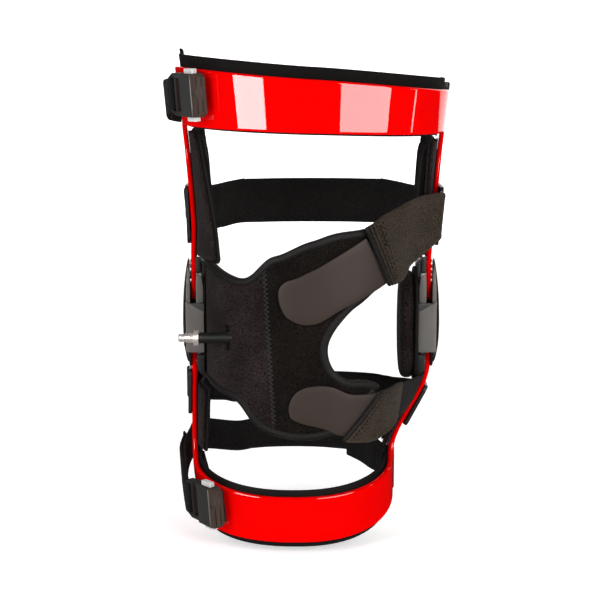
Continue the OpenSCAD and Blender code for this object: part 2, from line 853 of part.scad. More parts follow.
// Plate with a slot for a strap of the given width at its back end, and at its front end
// too if two_slots is true. It lies in the (Y, Z) plane with its inner face at X = 0.
module anchor_plate(width, front_y, back_y, two_slots) {
    r = 4;
    wall = 3;
    slot_len = width + slot_margin;
    height = slot_len + 2 * wall;
    x_plate(0, anchor_t) difference() {
        union() {
            translate([front_y + r, -height / 2])
                square([back_y - front_y - 2 * r, height]);
            translate([front_y, -height / 2 + r])
                square([back_y - front_y, height - 2 * r]);
            for (y = [front_y + r, back_y - r], s = [-1, 1])
                translate([y, s * (height / 2 - r)]) circle(r = r, $fn = fn_small);
        }
        translate([back_y - wall - slot_w, -slot_len / 2]) square([slot_w, slot_len]);
        if (two_slots)
            translate([front_y + wall, -slot_len / 2]) square([slot_w, slot_len]);
    }
}

// Screw that holds an anchor to its upright, flush in the upright's outer face
module anchor_screw_head() {
    x_rod(anchor_t, anchor_t + 0.9, 3);
}

anchor_back_y = 26;
thigh_anchor_z = 77;
shin_anchor_z = -47.5;
medial_anchor_z = -57;
band_loop_z = 148;
band_loop_y = 11;
shin_loop_y = 8;
anchor_gap = 0.2;

// Slope of an upright over the height of a plate, as the turn about Y that lays it there
function lean(x_of, z, half) = atan((x_of(z + half) - x_of(z - half)) / (2 * half));

// Distance of a plate's inner face from the middle of the knee where it rests on an upright
function rest_x(x_of, z, half) =
    let (slope = lean(x_of, z, half))
    max([for (h = [-half : half / 10 : half]) x_of(z + h) - h * tan(slope)])
        + (frame_t / 2 + anchor_gap) / cos(slope);

// Lays a plate of the given half height on the upright whose surface is at x_of(z)
module at_upright(side, x_of, z, half) {
    on_side(side)
        translate([rest_x(x_of, z, half), 0, z]) rotate([0, lean(x_of, z, half), 0]) children();
}

module thigh_strap_anchors() {
    half = strap_w / 2 + 4;
    color(BLACK) {
        at_upright(-1, function(h) thigh_w(h) - thigh_c(h), thigh_anchor_z, half) {
            anchor_plate(strap_w, -9, anchor_back_y, false);
            anchor_screw_head();
        }
        at_upright(1, function(h) thigh_w(h) + thigh_c(h), thigh_anchor_z, half) {
            anchor_plate(strap_w, -20, anchor_back_y, true);
            anchor_screw_head();
        }
    }
}

module shin_strap_anchors() {
    half = calf_strap_w / 2 + 4;
    color(BLACK) {
        at_upright(-1, function(h) shin_left(h), shin_anchor_z, half) {
            anchor_plate(calf_strap_w, -9, anchor_back_y, false);
            anchor_screw_head();
        }
        at_upright(1, function(h) shin_right(h), medial_anchor_z, half) {
            anchor_plate(calf_strap_w, -9, anchor_back_y, false);
            anchor_screw_head();
        }
    }
}

module thigh_band_loop() {
    color(BLACK) at_upright(1, function(h) thigh_w(h) + thigh_c(h), band_loop_z, strap_w / 2)
        translate([0, band_loop_y, 0]) {
            anchor_plate(strap_w, -4, anchor_back_y + 3 - band_loop_y, false);
            anchor_screw_head();
        }
}

module shin_band_loop() {
    z = -106;
    x = shin_right(z) + frame_t / 2 + 0.4;
    color(BLACK) translate([x, shin_loop_y, z]) {
        anchor_plate(calf_strap_w, -4, anchor_back_y - shin_loop_y, false);
        anchor_screw_head();
    }
}

// ---------------------------------------------------------------- straps round the back
// Each runs from the inner side round the back of the leg to the outer side
back_phis = [142, 155, 167, 180, 193, 205, 218];

module upper_thigh_strap() {
    off = -3;
    z0 = band_loop_z;
    color(STRAP_BROWN) ribbon(concat(
        [free_row([90.5, 30, z0 + strap_w / 2], [87.5, 30, z0 - strap_w / 2])],
        [for (p = back_phis) thigh_row(p, z0, strap_w, off)],
        [free_row([-92, 27, 170], [-89.5, 27, 138]),
            free_row([-97.5, 9, 169], [-95, 9, 141]),
            tail_row(thigh_buckle_at, thigh_buckle_turn, thigh_buckle_tilt)]
    ), strap_t);
}

module lower_thigh_strap() {
    z0 = thigh_anchor_z;
    color(STRAP_BROWN) ribbon(concat(
        [free_row([86, 27.2, z0 + strap_w / 2], [84, 27.2, z0 - strap_w / 2])],
        [for (p = back_phis) thigh_row(p, z0 + 4, strap_w, -2)],
        [free_row([-83, 27.2, z0 + strap_w / 2], [-81, 27.2, z0 - strap_w / 2])]
    ), strap_t);
}

module upper_calf_strap() {
    z0 = shin_anchor_z;
    color(STRAP_BROWN) ribbon(concat(
        [free_row([74, 27.2, medial_anchor_z + calf_strap_w / 2],
            [63, 27.2, medial_anchor_z - calf_strap_w / 2])],
        [for (p = back_phis) shin_row(p, z0 - 8, calf_strap_w, -3)],
        [free_row([-82.5, 27.2, z0 + calf_strap_w / 2], [-82.5, 27.2, z0 - calf_strap_w / 2])]
    ), strap_t);
}

module lower_calf_strap() {
    z0 = -102;
    color(STRAP_BROWN) ribbon(concat(
        [free_row([57, 27.2, -106 + calf_strap_w / 2], [56.5, 27.2, -106 - calf_strap_w / 2])],
        [for (p = back_phis) shin_row(p, z0 + 8, calf_strap_w, -4)],
        [free_row([-80, 36, -76], [-79, 36, -100]),
            free_row([-85, 20, -78], [-84, 20, -102]),
            free_row([-88.6, 3, -88], [-87.2, 3, -111]),
            tail_row(shin_buckle_at, shin_buckle_turn, shin_buckle_tilt)]
    ), strap_t);
}

// ---------------------------------------------------------------- buckles
// A buckle has a local frame: +X away from the leg, +Y to the front, +Z up, with the
// origin on the outer face of its base.
base_t = 2.2;
post_y = 7;
post_z = 7;
post_h = 4.4;
clip_gap = 0.5;
block_front = 20.5;
block_back = -2;
tail_back = -20;
tail_in_x = 1.7;
tail_strap_w = 21;
strap_end_y = tail_back - 0.6;
ridge_y = 14;
ridge_x = 8;
cavity_x = 5.9;
button_y = 8;
button_w = 11;
button_t = 4;
button_out = button_travel + 1.2;
button_neck = 8.6;

thigh_buckle_phi = -56;
thigh_buckle_z = 160.5;
thigh_buckle_turn = 34;
thigh_buckle_tilt = 5;
shin_buckle_phi = -54;
shin_buckle_z = -116.5;
shin_buckle_turn = 37;
shin_buckle_tilt = 5;

thigh_buckle_at = thigh_point(thigh_buckle_phi, thigh_buckle_z, frame_t / 2 + 0.15 + base_t);
shin_buckle_at = shin_point(shin_buckle_phi, shin_buckle_z, frame_t / 2 + 0.15 + base_t);

// Point p of a buckle's local frame, in the frame of the whole brace
function buckle_point(at, turn, tilt, p) =
    let (
        x = p[0] * cos(tilt) + p[2] * sin(tilt),
        z = p[2] * cos(tilt) - p[0] * sin(tilt),
        a = 180 + turn
    )
    at + [x * cos(a) - p[1] * sin(a), x * sin(a) + p[1] * cos(a), z];

// Row of points where a strap meets the back edge of a clip
function tail_row(at, turn, tilt) = free_row(
    buckle_point(at, turn, tilt, [tail_in_x, strap_end_y, tail_strap_w / 2]),
    buckle_point(at, turn, tilt, [tail_in_x, strap_end_y, -tail_strap_w / 2])
);

module at_thigh_buckle() {
    translate(thigh_buckle_at)
        rotate([0, 0, 180 + thigh_buckle_turn]) rotate([0, thigh_buckle_tilt, 0]) children();
}

module at_shin_buckle() {
    translate(shin_buckle_at)
        rotate([0, 0, 180 + shin_buckle_turn]) rotate([0, shin_buckle_tilt, 0]) children();
}

module buckle_post() {
    translate([-base_t / 2, button_y - post_y / 2, -post_z / 2])
        cube([base_t / 2 + post_h, post_y, post_z]);
}

// Curved plate that follows the band, with the post that the clip goes over
module thigh_buckle_base() {
    cols = 8;
    phi_of = function(i) lerp(-71, -47, i / cols);
    z_of = function(j) lerp(thigh_buckle_z + 12, thigh_buckle_z - 12, j / 2);
    color(BLACK) union() {
        full_sheet(cols, 2,
            function(i, j) thigh_point(phi_of(i), z_of(j), frame_t / 2 + 0.15 + base_t),
            function(i, j) thigh_point(phi_of(i), z_of(j), frame_t / 2 + 0.15));
        at_thigh_buckle() buckle_post();
    }
}

module shin_buckle_base() {
    cols = 8;
    phi_of = function(i) lerp(-72, -40, i / cols);
    z_of = function(j) lerp(shin_buckle_z + 10, shin_buckle_z - 12, j / 2);
    color(BLACK) union() {
        full_sheet(cols, 2,
            function(i, j) shin_point(phi_of(i), z_of(j), frame_t / 2 + 0.15 + base_t),
            function(i, j) shin_point(phi_of(i), z_of(j), frame_t / 2 + 0.15));
        at_shin_buckle() buckle_post();
    }
}

// Wedge that cuts a corner off a clip's end at y, in_y long and in_z high
module clip_corner(s, y, in_y, in_z) {
    out = sign(in_y);
    rotate([90, 0, 90]) translate([0, 0, -1]) linear_extrude(12)
        polygon([
            [y - out, s * (clip_h / 2 + 1)], [y - out, s * (clip_h / 2 - in_z)],
            [y, s * (clip_h / 2 - in_z)], [y + in_y, s * clip_h / 2],
            [y + in_y, s * (clip_h / 2 + 1)]
        ]);
}

// Clip: a ridged block with a cavity for the post and buttons, and a slotted tail
module buckle_clip() {
    wall = 2;
    tail_x = 4.5;
    slot_from = tail_back + 3;
    difference() {
        union() {
            translate([0, 0, -clip_h / 2]) linear_extrude(clip_h) polygon([
                [clip_gap, block_back], [clip_gap, block_front], [3, block_front],
                [6.2, block_front - 1.7], [ridge_x, ridge_y], [7, block_back]
            ]);
            translate([0, 0, -clip_h / 2]) linear_extrude(clip_h) polygon([
                [tail_in_x, tail_back], [clip_gap, block_back + 1],
                [tail_x + 1, block_back + 1], [tail_x, tail_back]
            ]);
        }
        translate([clip_gap - 1, button_y - button_neck, -clip_h / 2 + wall])
            cube([cavity_x - clip_gap + 1, 2 * button_neck, clip_h - 2 * wall]);
        for (s = [-1, 1])
            translate([1.4, button_y - button_w / 2 - 0.1, s * clip_h / 2 - 3])
                cube([button_t + 0.2, button_w + 0.2, 6]);
        for (y = [slot_from, slot_from + 7.5])
            translate([-1, y, -clip_h / 2 + 3]) cube([12, 5, clip_h - 6]);
        for (s = [-1, 1]) {
            clip_corner(s, tail_back, 6, 3);
            clip_corner(s, block_front, -3, 2.5);
        }
    }
}

// Button: a cap outside the clip and a wider foot inside it that keeps it captive
module buckle_button(s) {
    foot_t = 1.6;
    foot_at = clip_h / 2 - 2 - 0.1 - foot_t;
    mirror([0, 0, s > 0 ? 0 : 1]) {
        translate([1.5, button_y - button_w / 2, foot_at])
            cube([button_t, button_w, clip_h / 2 + button_out - foot_at]);
        translate([1.5, button_y - button_neck + 0.2, foot_at])
            cube([button_t, 2 * button_neck - 0.4, foot_t]);
    }
}

// Two coil springs as plain sleeves between the post and the buttons' feet
module button_springs() {
    foot_face = clip_h / 2 - 2 - 0.1 - 1.6;
    for (s = [-1, 1])
        mirror([0, 0, s > 0 ? 0 : 1])
            translate([3.4, button_y, post_z / 2 + 0.05])
                difference() {
                    cylinder(h = foot_face - post_z / 2 - 0.1, r = 1.6, $fn = fn_small);
                    translate([0, 0, -1]) cylinder(h = 20, r = 1, $fn = fn_small);
                }
}

module thigh_buckle_clip() {
    color(DARK_GREY) at_thigh_buckle() buckle_clip();
}

module thigh_upper_button() {
    color(WHITE) at_thigh_buckle() buckle_button(1);
}

module thigh_lower_button() {
    color(WHITE) at_thigh_buckle() buckle_button(-1);
}

module thigh_button_springs() {
    color(STEEL) at_thigh_buckle() button_springs();
}

module shin_buckle_clip() {
    color(DARK_GREY) at_shin_buckle() buckle_clip();
}

module shin_upper_button() {
    color(WHITE) at_shin_buckle() buckle_button(1);
}

module shin_lower_button() {
    color(WHITE) at_shin_buckle() buckle_button(-1);
}

module shin_button_springs() {
    color(STEEL) at_shin_buckle() button_springs();
}

thigh_frame();
shin_frame();
thigh_liner();
shin_liner();
lateral_thigh_pad();
medial_thigh_pad();
lateral_shin_pad();
medial_shin_pad();
lateral_upper_gear_head();
lateral_lower_gear_head();
medial_upper_gear_head();
medial_lower_gear_head();
thigh_arm_rivets();
shin_arm_rivets();
lateral_inner_plate();
lateral_outer_plate();
lateral_hinge_housing();
lateral_pivot_pins();
lateral_extension_stops();
lateral_hinge_cover();
lateral_cover_screws();
lateral_condyle_pad();
medial_inner_plate();
medial_outer_plate();
medial_hinge_housing();
medial_pivot_pins();
medial_extension_stops();
medial_hinge_cover();
medial_cover_screws();
medial_condyle_pad();
air_bladder();
inflation_tube();
valve_ferrule();
valve_stem();
kneecap_wrap();
upper_hook_tab();
lower_hook_tab();
upper_kneecap_strap();
lower_kneecap_strap();
thigh_strap_anchors();
shin_strap_anchors();
thigh_band_loop();
shin_band_loop();
upper_thigh_strap();
lower_thigh_strap();
upper_calf_strap();
lower_calf_strap();
thigh_buckle_base();
thigh_buckle_clip();
thigh_upper_button();
thigh_lower_button();
thigh_button_springs();
shin_buckle_base();
shin_buckle_clip();
shin_upper_button();
shin_lower_button();
shin_button_springs();
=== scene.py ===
"""Looks of the knee brace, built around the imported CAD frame.

Helper functions work in millimetres in the row frame (-X outer side, -Y front, +Z up);
new_mesh() turns them into metres.
"""
import math

import bmesh
import bpy
import numpy as np
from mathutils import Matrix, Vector
from mathutils.geometry import delaunay_2d_cdt


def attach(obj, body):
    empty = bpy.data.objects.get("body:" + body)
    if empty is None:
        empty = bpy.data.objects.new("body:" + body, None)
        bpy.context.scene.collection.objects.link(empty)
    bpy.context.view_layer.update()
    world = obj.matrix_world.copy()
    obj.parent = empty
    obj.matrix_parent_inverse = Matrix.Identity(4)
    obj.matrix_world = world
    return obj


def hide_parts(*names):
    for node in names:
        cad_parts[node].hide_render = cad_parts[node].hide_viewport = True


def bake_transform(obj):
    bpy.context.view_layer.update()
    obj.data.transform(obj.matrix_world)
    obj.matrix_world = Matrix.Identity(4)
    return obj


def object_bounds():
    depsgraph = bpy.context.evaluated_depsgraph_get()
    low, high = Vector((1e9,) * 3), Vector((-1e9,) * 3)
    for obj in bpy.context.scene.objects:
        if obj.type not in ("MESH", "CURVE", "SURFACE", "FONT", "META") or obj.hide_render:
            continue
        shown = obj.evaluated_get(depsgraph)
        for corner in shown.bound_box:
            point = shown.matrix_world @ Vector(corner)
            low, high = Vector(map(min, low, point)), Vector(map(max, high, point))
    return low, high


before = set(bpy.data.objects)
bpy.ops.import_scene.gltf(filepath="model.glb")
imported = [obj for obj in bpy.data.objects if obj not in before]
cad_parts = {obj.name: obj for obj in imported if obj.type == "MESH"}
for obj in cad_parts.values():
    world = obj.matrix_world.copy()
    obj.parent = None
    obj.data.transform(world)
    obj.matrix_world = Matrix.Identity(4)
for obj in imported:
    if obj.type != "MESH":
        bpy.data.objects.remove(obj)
cad_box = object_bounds()
scene = bpy.context.scene
MM = 0.001

# ---------------------------------------------------------------- camera, light, floor
cam = bpy.data.objects.new("camera", bpy.data.cameras.new("camera"))
scene.collection.objects.link(cam)
cam.location = (-0.0077, -1.1, 0.19)
cam.rotation_euler = (math.radians(90 - 8.97), 0, 0)
cam.data.lens = 95.68
cam.data.sensor_width = 36
cam.data.clip_start = 0.01
scene.camera = cam
scene.view_settings.view_transform = "Standard"


def area_light(name, at, target, size, radiance, glossy=True, diffuse=True):
    data = bpy.data.lights.new(name, "AREA")
    data.shape = "RECTANGLE"
    data.size, data.size_y = size
    data.energy = radiance * math.pi * size[0] * size[1]
    lamp = bpy.data.objects.new(name, data)
    scene.collection.objects.link(lamp)
    lamp.location = at
    lamp.rotation_euler = (Vector(target) - Vector(at)).to_track_quat("-Z", "Y").to_euler()
    lamp.visible_glossy = glossy
    lamp.visible_diffuse = diffuse


# The reflections of the two softboxes and of the strip are kept apart from the soft light
area_light("softbox_left", (-0.76, -0.87, 0.32), (-0.04, -0.08, 0.32), (0.53, 0.64), 18.5, diffuse=False)
area_light("softbox_right", (0.60, -0.95, 0.32), (0.03, -0.08, 0.32), (0.79, 0.64), 10.8, diffuse=False)
area_light("strip_right", (1.16, -0.18, 0.3), (0.065, -0.066, 0.3), (0.045, 0.7), 8, diffuse=False)
area_light("fill_left", (-0.9, -0.9, 0.5), (0, 0, 0), (0.6, 0.7), 5.2, glossy=False)
area_light("fill_right", (0.75, -1.0, 0.5), (0, 0, 0), (0.8, 0.7), 4.2, glossy=False)
area_light("top_fill", (0, -0.5, 1.3), (0, 0, 0), (1.2, 0.8), 1.2, glossy=False)
area_light("back_left", (-1.0, 0.9, 0.7), (0, 0, 0), (0.6, 0.9), 1.0, glossy=False)
area_light("back_right", (1.0, 0.9, 0.7), (0, 0, 0), (0.6, 0.9), 1.0, glossy=False)


def emission_material(name, color, strength):
    mat = bpy.data.materials.new(name)
    mat.use_nodes = True
    bsdf = mat.node_tree.nodes["Principled BSDF"]
    bsdf.inputs["Base Color"].default_value = (*color, 1)
    bsdf.inputs["Roughness"].default_value = 0.9
    bsdf.inputs["Emission Color"].default_value = (*color, 1)
    bsdf.inputs["Emission Strength"].default_value = strength
    return mat


def stage_plane(name, corners, mat):
    mesh = bpy.data.meshes.new(name)
    mesh.from_pydata(corners, [], [(0, 1, 2, 3)])
    obj = bpy.data.objects.new(name, mesh)
    scene.collection.objects.link(obj)
    mesh.materials.append(mat)
    return obj


floor_z = cad_box[0].z - 0.004
floor = stage_plane("floor", [(-9, -9, floor_z), (9, -9, floor_z), (9, 9, floor_z), (-9, 9, floor_z)],
                    emission_material("floor_paper", (0.93, 0.93, 0.93), 0.5))
floor.visible_glossy = False
# The backdrop stops on the left where the red band's end would mirror it
stage_plane("backdrop", [(-0.6, 1.9, floor_z), (2.4, 1.9, floor_z), (2.4, 1.9, 2.2), (-0.6, 1.9, 2.2)],
            emission_material("backdrop_paper", (0.95, 0.95, 0.95), 0.9))

world = bpy.data.worlds.new("studio")
scene.world = world
world.use_nodes = True
wn = world.node_tree
path = wn.nodes.new("ShaderNodeLightPath")
shader = wn.nodes["Background"].outputs[0]
wn.nodes["Background"].inputs["Color"].default_value = (0.16, 0.16, 0.16, 1)
for ray, level in (("Is Glossy Ray", 0.012), ("Is Camera Ray", 1.0)):
    sky = wn.nodes.new("ShaderNodeBackground")
    sky.inputs["Color"].default_value = (level, level, level, 1)
    mix = wn.nodes.new("ShaderNodeMixShader")
    wn.links.new(path.outputs[ray], mix.inputs[0])
    wn.links.new(shader, mix.inputs[1])
    wn.links.new(sky.outputs[0], mix.inputs[2])
    shader = mix.outputs[0]
wn.links.new(shader, wn.nodes["World Output"].inputs[0])


# ---------------------------------------------------------------- materials
def material(name, color, rough, metal=0.0, coat=0.0, sheen=0.0, spec=0.5, blotch=(40, 0.15),
             grain=None, speck=None, weave=None, rough_var=0.0, wear=0.0, warm=None, brush=None, painted_facet_light=None,
             beyond=None):
    """Principled material. blotch is (waves a metre, amount) and speck (size mm, amount), both of
    the colour; grain is (size mm, depth mm), brush the same along Z, and weave is (threads a mm
    along, across, depth mm) on the UV map. warm is a second colour in soft clouds, wear lightens
    edges, and the last two take (direction, from, to, colour): the first is a painted reflection,
    giving the faces turned towards a direction that colour in place of light thrown onto them,
    and the second gives it to what lies further along a direction, in metres."""
    mat = bpy.data.materials.new(name)
    mat.use_nodes = True
    tree = mat.node_tree
    nodes, links = tree.nodes, tree.links
    bsdf = nodes["Principled BSDF"]
    coords = nodes.new("ShaderNodeTexCoord")

    def noise(scale, detail=3.0, stretch=None):
        tex = nodes.new("ShaderNodeTexNoise")
        tex.inputs["Scale"].default_value = scale
        tex.inputs["Detail"].default_value = detail
        source = coords.outputs["Object"]
        if stretch:
            mapping = nodes.new("ShaderNodeMapping")
            mapping.inputs["Scale"].default_value = stretch
            links.new(source, mapping.inputs["Vector"])
            source = mapping.outputs["Vector"]
        links.new(source, tex.inputs["Vector"])
        return tex.outputs["Fac"]

    def remap(value, low, high, start=0.3, end=0.7):
        node = nodes.new("ShaderNodeMapRange")
        node.inputs["From Min"].default_value = start
        node.inputs["From Max"].default_value = end
        node.inputs["To Min"].default_value = low
        node.inputs["To Max"].default_value = high
        links.new(value, node.inputs["Value"])
        return node.outputs["Result"]

    def math_node(kind, a, b=None):
        node = nodes.new("ShaderNodeMath")
        node.operation = kind
        for socket, value in zip(node.inputs, (a, b)):
            if value is None:
                continue
            if isinstance(value, (int, float)):
                socket.default_value = value
            else:
                links.new(value, socket)
        return node.outputs[0]

    def mixed(first, second, share):
        blend = nodes.new("ShaderNodeMix")
        blend.data_type = "RGBA"
        links.new(share, blend.inputs["Factor"])
        links.new(first, blend.inputs["A"])
        blend.inputs["B"].default_value = (*second, 1)
        return blend.outputs["Result"]

    def tinted(first, place, tint):
        direction, low, high, second = tint
        dot = nodes.new("ShaderNodeVectorMath")
        dot.operation = "DOT_PRODUCT"
        links.new(place, dot.inputs[0])
        dot.inputs[1].default_value = direction
        return mixed(first, second, remap(dot.outputs["Value"], 0, 1, low, high))

    factor = remap(noise(blotch[0]), 1 - blotch[1], 1 + blotch[1])
    if speck:
        factor = math_node("MULTIPLY", factor, remap(noise(1000 / speck[0], 2.0), 1 - speck[1], 1 + speck[1]))
    if wear:
        geometry = nodes.new("ShaderNodeNewGeometry")
        factor = math_node("MULTIPLY", factor, remap(geometry.outputs["Pointiness"], 1, 1 + wear, 0.5, 0.6))
    scaled = nodes.new("ShaderNodeVectorMath")
    scaled.operation = "SCALE"
    scaled.inputs[0].default_value = color
    if beyond:
        plain = nodes.new("ShaderNodeRGB")
        plain.outputs[0].default_value = (*color, 1)
        links.new(tinted(plain.outputs[0], coords.outputs["Object"], beyond), scaled.inputs[0])
    links.new(factor, scaled.inputs["Scale"])
    base = scaled.outputs[0]
    if warm:
        base = mixed(base, warm, remap(noise(22, 2.0), 0, 1))
    # Painted reflection: faces turned towards the given direction take a warmer colour in place of light
    # thrown onto them
    if painted_facet_light:
        base = tinted(base, nodes.new("ShaderNodeNewGeometry").outputs["True Normal"], painted_facet_light)
    links.new(base, bsdf.inputs["Base Color"])
    bsdf.inputs["Metallic"].default_value = metal
    bsdf.inputs["Specular IOR Level"].default_value = spec
    bsdf.inputs["Coat Weight"].default_value = coat
    bsdf.inputs["Coat Roughness"].default_value = 0.02
    bsdf.inputs["Sheen Weight"].default_value = sheen
    bsdf.inputs["Sheen Roughness"].default_value = 0.45
    if rough_var:
        links.new(remap(noise(90, 4.0), rough - rough_var, rough + rough_var), bsdf.inputs["Roughness"])
    else:
        bsdf.inputs["Roughness"].default_value = rough

    normal = None

    def bump(height, depth):
        nonlocal normal
        node = nodes.new("ShaderNodeBump")
        node.inputs["Distance"].default_value = depth * MM
        node.inputs["Strength"].default_value = 1.0
        links.new(height, node.inputs["Height"])
        if normal:
            links.new(normal, node.inputs["Normal"])
        normal = node.outputs["Normal"]

    if grain:
        bump(noise(1000 / grain[0], 4.0), grain[1])
    if brush:
        bump(noise(1000 / brush[0], 3.0, (1, 1, 0.06)), brush[1])
    if weave:
        uv = nodes.new("ShaderNodeUVMap")
        split = nodes.new("ShaderNodeSeparateXYZ")
        links.new(uv.outputs[0], split.inputs[0])
        waves = []
        for axis, rate in zip(("X", "Y"), weave[:2]):
            turns = math_node("MULTIPLY", split.outputs[axis], rate * 2 * math.pi * 10)
            waves.append(math_node("SINE", turns))
        bump(math_node("MULTIPLY", waves[0], waves[1]), weave[2])
    if normal:
        links.new(normal, bsdf.inputs["Normal"])
    return mat


M = {
    "red": material("red_gloss_paint", (0.88, 0.0004, 0.0004), 0.3, coat=1.0, spec=0.0, blotch=(25, 0.02),
                    grain=(9, 0.003)),
    "foam": material("foam_knit", (0.0082, 0.0066, 0.0066), 0.9, sheen=0.02, spec=0.04, blotch=(30, 0.25),
                     speck=(0.7, 0.3), weave=(1.1, 1.1, 0.06), grain=(1.2, 0.1)),
    "moulded": material("moulded_foam", (0.0085, 0.0065, 0.006), 0.85, sheen=0.02, spec=0.03,
                        blotch=(30, 0.25), grain=(0.8, 0.05), rough_var=0.08),
    "shell": material("hinge_shell", (0.128, 0.120, 0.112), 0.4, spec=0.45, blotch=(20, 0.1),
                      grain=(0.45, 0.02), warm=(0.105, 0.092, 0.078), wear=0.3, rough_var=0.06),
    "flange": material("pressed_edge", (0.010, 0.0088, 0.0085), 0.7, spec=0.05, grain=(0.7, 0.04),
                       rough_var=0.06),
    "pile": material("loop_pile", (0.0165, 0.0113, 0.0108), 0.95, sheen=0.04, spec=0.04, blotch=(45, 0.35),
                     speck=(0.9, 0.95), grain=(1.0, 0.7)),
    "wrap": material("two_tone_pile", (0.0165, 0.0113, 0.0108), 0.95, sheen=0.04, spec=0.04,
                     blotch=(45, 0.35), speck=(0.9, 0.95), grain=(1.0, 0.7),
                     beyond=((1.0, 0.0, 0.06), -0.0285, -0.0275, (0.0068, 0.0050, 0.0040))),
    "seam": material("grey_thread", (0.04, 0.04, 0.042), 0.6, sheen=0.02, spec=0.1, grain=(0.3, 0.05)),
    "binding": material("edge_binding", (0.0095, 0.0082, 0.0075), 0.6, sheen=0.04, spec=0.11,
                        grain=(1.2, 0.15), weave=(0.6, 0.6, 0.05), rough_var=0.1),
    "hook": material("hook_tape", (0.043, 0.030, 0.025), 0.5, sheen=0.03, spec=0.11, blotch=(18, 0.12),
                     grain=(0.5, 0.02), speck=(0.45, 0.12), warm=(0.038, 0.026, 0.021)),
    "strap": material("brushed_webbing", (0.040, 0.029, 0.020), 0.9, sheen=0.05, spec=0.05, blotch=(35, 0.2),
                      speck=(0.8, 0.75), weave=(0.8, 0.8, 0.16), grain=(0.9, 0.35)),
    "webbing": material("black_webbing", (0.0125, 0.0112, 0.0105), 0.8, sheen=0.03, spec=0.08,
                        blotch=(35, 0.2), speck=(0.8, 0.6), weave=(0.8, 0.8, 0.16), grain=(0.9, 0.3)),
    "thread": material("black_thread", (0.004, 0.004, 0.004), 0.7, sheen=0.02, spec=0.1, grain=(0.3, 0.05)),
    "satin": material("satin_plastic", (0.034, 0.0325, 0.031), 0.38, spec=0.42, blotch=(20, 0.12),
                      grain=(0.45, 0.025), warm=(0.032, 0.028, 0.024), wear=0.8, rough_var=0.06),
    # The clip's faces turned to the right front carry a painted warm reflection in their colour
    "clip": material("clip_plastic", (0.024, 0.0235, 0.0225), 0.5, spec=0.03, blotch=(20, 0.12),
                     grain=(0.5, 0.04), wear=1.5, rough_var=0.08,
                     painted_facet_light=((0.58, -0.81, 0.0), 0.10, 0.25, (0.062, 0.041, 0.033))),
    "dark": material("dark_plastic", (0.0085, 0.0085, 0.0085), 0.42, spec=0.3, blotch=(25, 0.2),
                     grain=(0.5, 0.03), wear=1.2, rough_var=0.07),
    "white": material("white_plastic", (0.72, 0.72, 0.71), 0.32, spec=0.4, blotch=(120, 0.05),
                      grain=(0.8, 0.01)),
    "steel": material("brushed_steel", (0.50, 0.485, 0.46), 0.34, metal=1.0, blotch=(60, 0.08),
                      brush=(0.35, 0.02), rough_var=0.07, wear=0.2),
    "tang": material("tumbled_steel", (0.36, 0.34, 0.32), 0.5, metal=0.7, blotch=(60, 0.1),
                     grain=(0.5, 0.015), rough_var=0.08, wear=0.2),
    "plate": material("black_plate", (0.016, 0.016, 0.016), 0.38, metal=0.3, spec=0.3, blotch=(40, 0.15),
                      grain=(0.5, 0.02), wear=1.0, rough_var=0.06),
    "nickel": material("nickel_plate", (0.80, 0.73, 0.69), 0.3, metal=0.65, blotch=(150, 0.08),
                       grain=(1.5, 0.008), rough_var=0.05),
    "rubber": material("rubber_tube", (0.010, 0.010, 0.009), 0.38, spec=0.35, blotch=(60, 0.2),
                       grain=(0.8, 0.02), rough_var=0.08),
    "film": material("bladder_film", (0.010, 0.010, 0.011), 0.28, spec=0.35, blotch=(40, 0.2),
                     grain=(6, 0.25)),
}


# ---------------------------------------------------------------- the leg's outline
def ease(t):
    return (1 - np.cos(np.pi * np.clip(t, 0, 1))) / 2


def lerp(a, b, t):
    return a + (b - a) * t


SECTION_EXP = 2 / 2.3
ARM_X = 81.3
THIGH_FRONT = 84
SHIN_FRONT = 62
KNEE_FRONT = 74
KNEE_HALF = 69


def spow(v, p):
    return np.sign(v) * np.abs(v) ** p


def spread(*values):
    """Numbers or arrays as float arrays of one shape."""
    return np.broadcast_arrays(*(np.asarray(v, float) for v in values))


def section(c, w, front, back, phi, z):
    """Point on a leg-shaped section, as in the CAD source."""
    s, k = np.sin(np.radians(phi)), np.cos(np.radians(phi))
    depth = np.where(k > 0, front, back)
    return np.stack([c + w * spow(s, SECTION_EXP), -depth * spow(k, SECTION_EXP), z + 0 * s], -1)


def thigh_c(z):
    return 1.5 * ease((z - 45) / 30)


def thigh_w(z):
    return ARM_X + 10.5 * (np.maximum(0, z - 45) / 125) ** 1.5


def thigh_back(z):
    return lerp(48, 80, ease(z / 150))


def thigh_point(phi, z, off):
    return section(thigh_c(z), thigh_w(z) + off, THIGH_FRONT + off, thigh_back(z) + off, phi, z)


def shin_left(z):
    return ARM_X + 0.4 * ease((-z - 28) / 30) - 6 * ease((-z - 88) / 64)


def shin_right(z):
    return ARM_X - 25 * ease((-z - 26) / 66)


def shin_back(z):
    return lerp(48, 70, ease((-z - 30) / 70))


def shin_point(phi, z, off):
    left, right = shin_left(z), shin_right(z)
    return section((right - left) / 2, (right + left) / 2 + off, SHIN_FRONT + off, shin_back(z) + off, phi, z)


def knee_point(phi, z, off):
    return section(0, KNEE_HALF + off, KNEE_FRONT + off, KNEE_FRONT + off, phi, z)


def run_length(points):
    """Distance along a line at each of its points."""
    return np.concatenate([[0], np.cumsum(np.linalg.norm(np.diff(points, axis=0), axis=1))])


